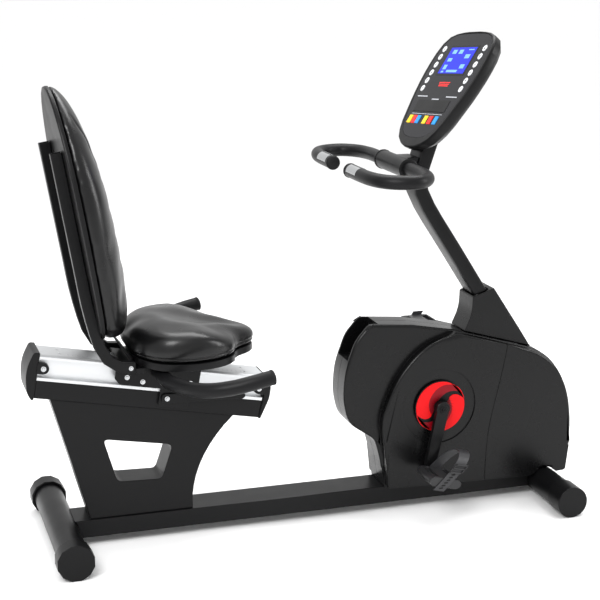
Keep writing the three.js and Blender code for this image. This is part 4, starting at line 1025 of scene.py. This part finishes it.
# %% [markdown]
# ## The shroud
# Two moulded halves hide the belt drive. Each has a broad raised drum round the crank, with a
# sunken ring that the crank cover turns in, and a curved split line towards the front. The line is
# cut with a thin curved blade, and the outer edges get a wide, soft radius.

# %% Finish the shroud
def blade(name, route, side, width, under, over):
    """A thin curved cutter that follows a route in side view."""
    shape = bmesh.new()
    rows = []
    for i, (x, z) in enumerate(route):
        px, pz = route[max(0, i - 1)]
        qx, qz = route[min(len(route) - 1, i + 1)]
        across = Vector((-(qz - pz), qx - px)).normalized() * width / 2
        rows.append([shape.verts.new(at(x + s * across.x, side * y, z + s * across.y))
                     for s, y in ((-1, under), (1, under), (1, over), (-1, over))])
    bridged(shape, rows)
    shape.faces.new(rows[0])
    shape.faces.new(rows[-1])
    return mesh_of(name, shape)


FOOT_TOP, RING_REACH = 0.08, 0.11  # the shroud's foot and its sunken ring keep small edges
DRUM_SIDE, PANEL_SIDE, NEAR = 0.075, 0.05, 0.0002


def outer_rim(edge):
    """True on the outside edges of the drum and of the panel."""
    ends = [v.co for v in edge.verts]
    if min(co.z for co in ends) < FOOT_TOP:
        return False
    crank = at(CRANK_X, 0, CRANK_Z)
    if min((co.x - crank.x) ** 2 + (co.z - crank.z) ** 2 for co in ends) < RING_REACH ** 2:
        return False
    on_drum = all(abs(co.y) > DRUM_SIDE - NEAR for co in ends)
    return on_drum or all(abs(abs(co.y) - PANEL_SIDE) < NEAR for co in ends)


split_line = eased([(1196, 462), (1186, 400), (1172, 335), (1149, 233), (1140, 149), (1137, 40)])
for side, hand in (("right", -1), ("left", 1)):
    cutter = bpy.data.objects.new("blade", blade("blade", split_line, hand, 1.6, 73.6, 80))
    scene.collection.objects.link(cutter)
    rounded_part(f"shroud_{side}", shroud_satin, 0.7, outer_rim, 7.0, cutter,
                 joined=False)
    bpy.data.objects.remove(cutter)
rounded_part("mast_cowl", shroud_satin, 2.5)
rounded_part("mast_tube", powder_coat, 1.0)
rounded_part("handlebar_cover", moulded, 1.2)
print("shroud finished")

# %% [markdown]
# ## The console
# The console is a two-part moulding with a printed face: a blue screen, twelve round keys down its
# sides, a slot for a book, and six coloured quick keys at its foot. Its blocks and bars are plain
# marks without words.

# %% Finish the console
rounded_part("console_housing", moulded, 1.5)
rounded_part("console_fascia", panel_print, 0.5)
for side in ("right", "left"):
    for number in range(1, 7):
        rounded_part(f"button_{side}_{number}", key_white, 0.6)
FACE = -0.8  # how far the printed face lies out of the console's own plane, in millimetres


def on_face(name, outlines, under, over, material, inset=0.0):
    """Plates between two heights in millimetres over the printed face."""
    plates(name, outlines, FACE + under, FACE + over, on_console, material, "frame", inset)


on_face("screen_frame", [box_outline(0, 12, 156, 90)], -0.1, 0.5, moulded, inset=0.6)
on_face("screen", [box_outline(0, 12, 144, 78)], 0.1, 0.9, screen_blue)
blocks = [(-42, 38, 22, 12), (-6, 38, 22, 12), (46, 44, 30, 3), (42, 24, 26, 12),
          (-46, 14, 24, 10), (-50, -8, 18, 14), (44, -6, 24, 12), (0, -20, 60, 7),
          (-52, -22, 14, 5)]
on_face("screen_blocks", [box_outline(*block) for block in blocks], 0.8, 1.0, screen_light)
lines = [(-84, -96, 60, 3), (84, -96, 60, 3), (0, -104, 40, 3), (0, -148, 180, 1.4)]
on_face("face_lines", [box_outline(*line) for line in lines], -0.1, 0.25, print_grey)
on_face("book_ledge", [box_outline(0, -124, 184, 34)], -0.1, 1.4, moulded, inset=1.2)
bars = [box_outline(0, -54 - 5 * k, 62 - 4 * k, 2.4) for k in range(3)]
on_face("red_bars", bars, -0.1, 0.25, key_red)
for name, material, places in (("yellow", key_yellow, (-80, 10)), ("red", key_red, (-55, 39)),
                               ("blue", key_blue, (-32, 70))):
    on_face(f"quick_keys_{name}", [box_outline(u, -165, 19, 24) for u in places], -0.1, 1.6,
            material, 1.0)
print("console finished")

# %% [markdown]
# ## Signs on the keys
# Each round key carries a small dark sign: an arrow up, an arrow down or a bar. A sign moves with
# its key, so each is a plate of its own on that key's body.

# %% Print the keys
KEY_TOP, KEY_FOOT, KEYS = (113.4, 47.5), (110.5, -72.3), 6  # a column's first and last key
arrow = [(-3.6, -2.4), (3.6, -2.4), (0, 3.8)]
signs = [arrow, [(a, -b) for a, b in reversed(arrow)], box_outline(0, 0, 6, 2)]
for side, hand in (("right", 1), ("left", -1)):
    for number in range(KEYS):
        t = number / (KEYS - 1)
        u = hand * (KEY_TOP[0] + (KEY_FOOT[0] - KEY_TOP[0]) * t)
        v = KEY_TOP[1] + (KEY_FOOT[1] - KEY_TOP[1]) * t
        sign = [(a + u, b + v) for a, b in signs[number % 3]]
        plates(f"key_sign_{side}_{number + 1}", [sign], 0.6, 0.95, on_console, belt_rubber,
               f"button_{side}_{number + 1}")
print("keys printed")
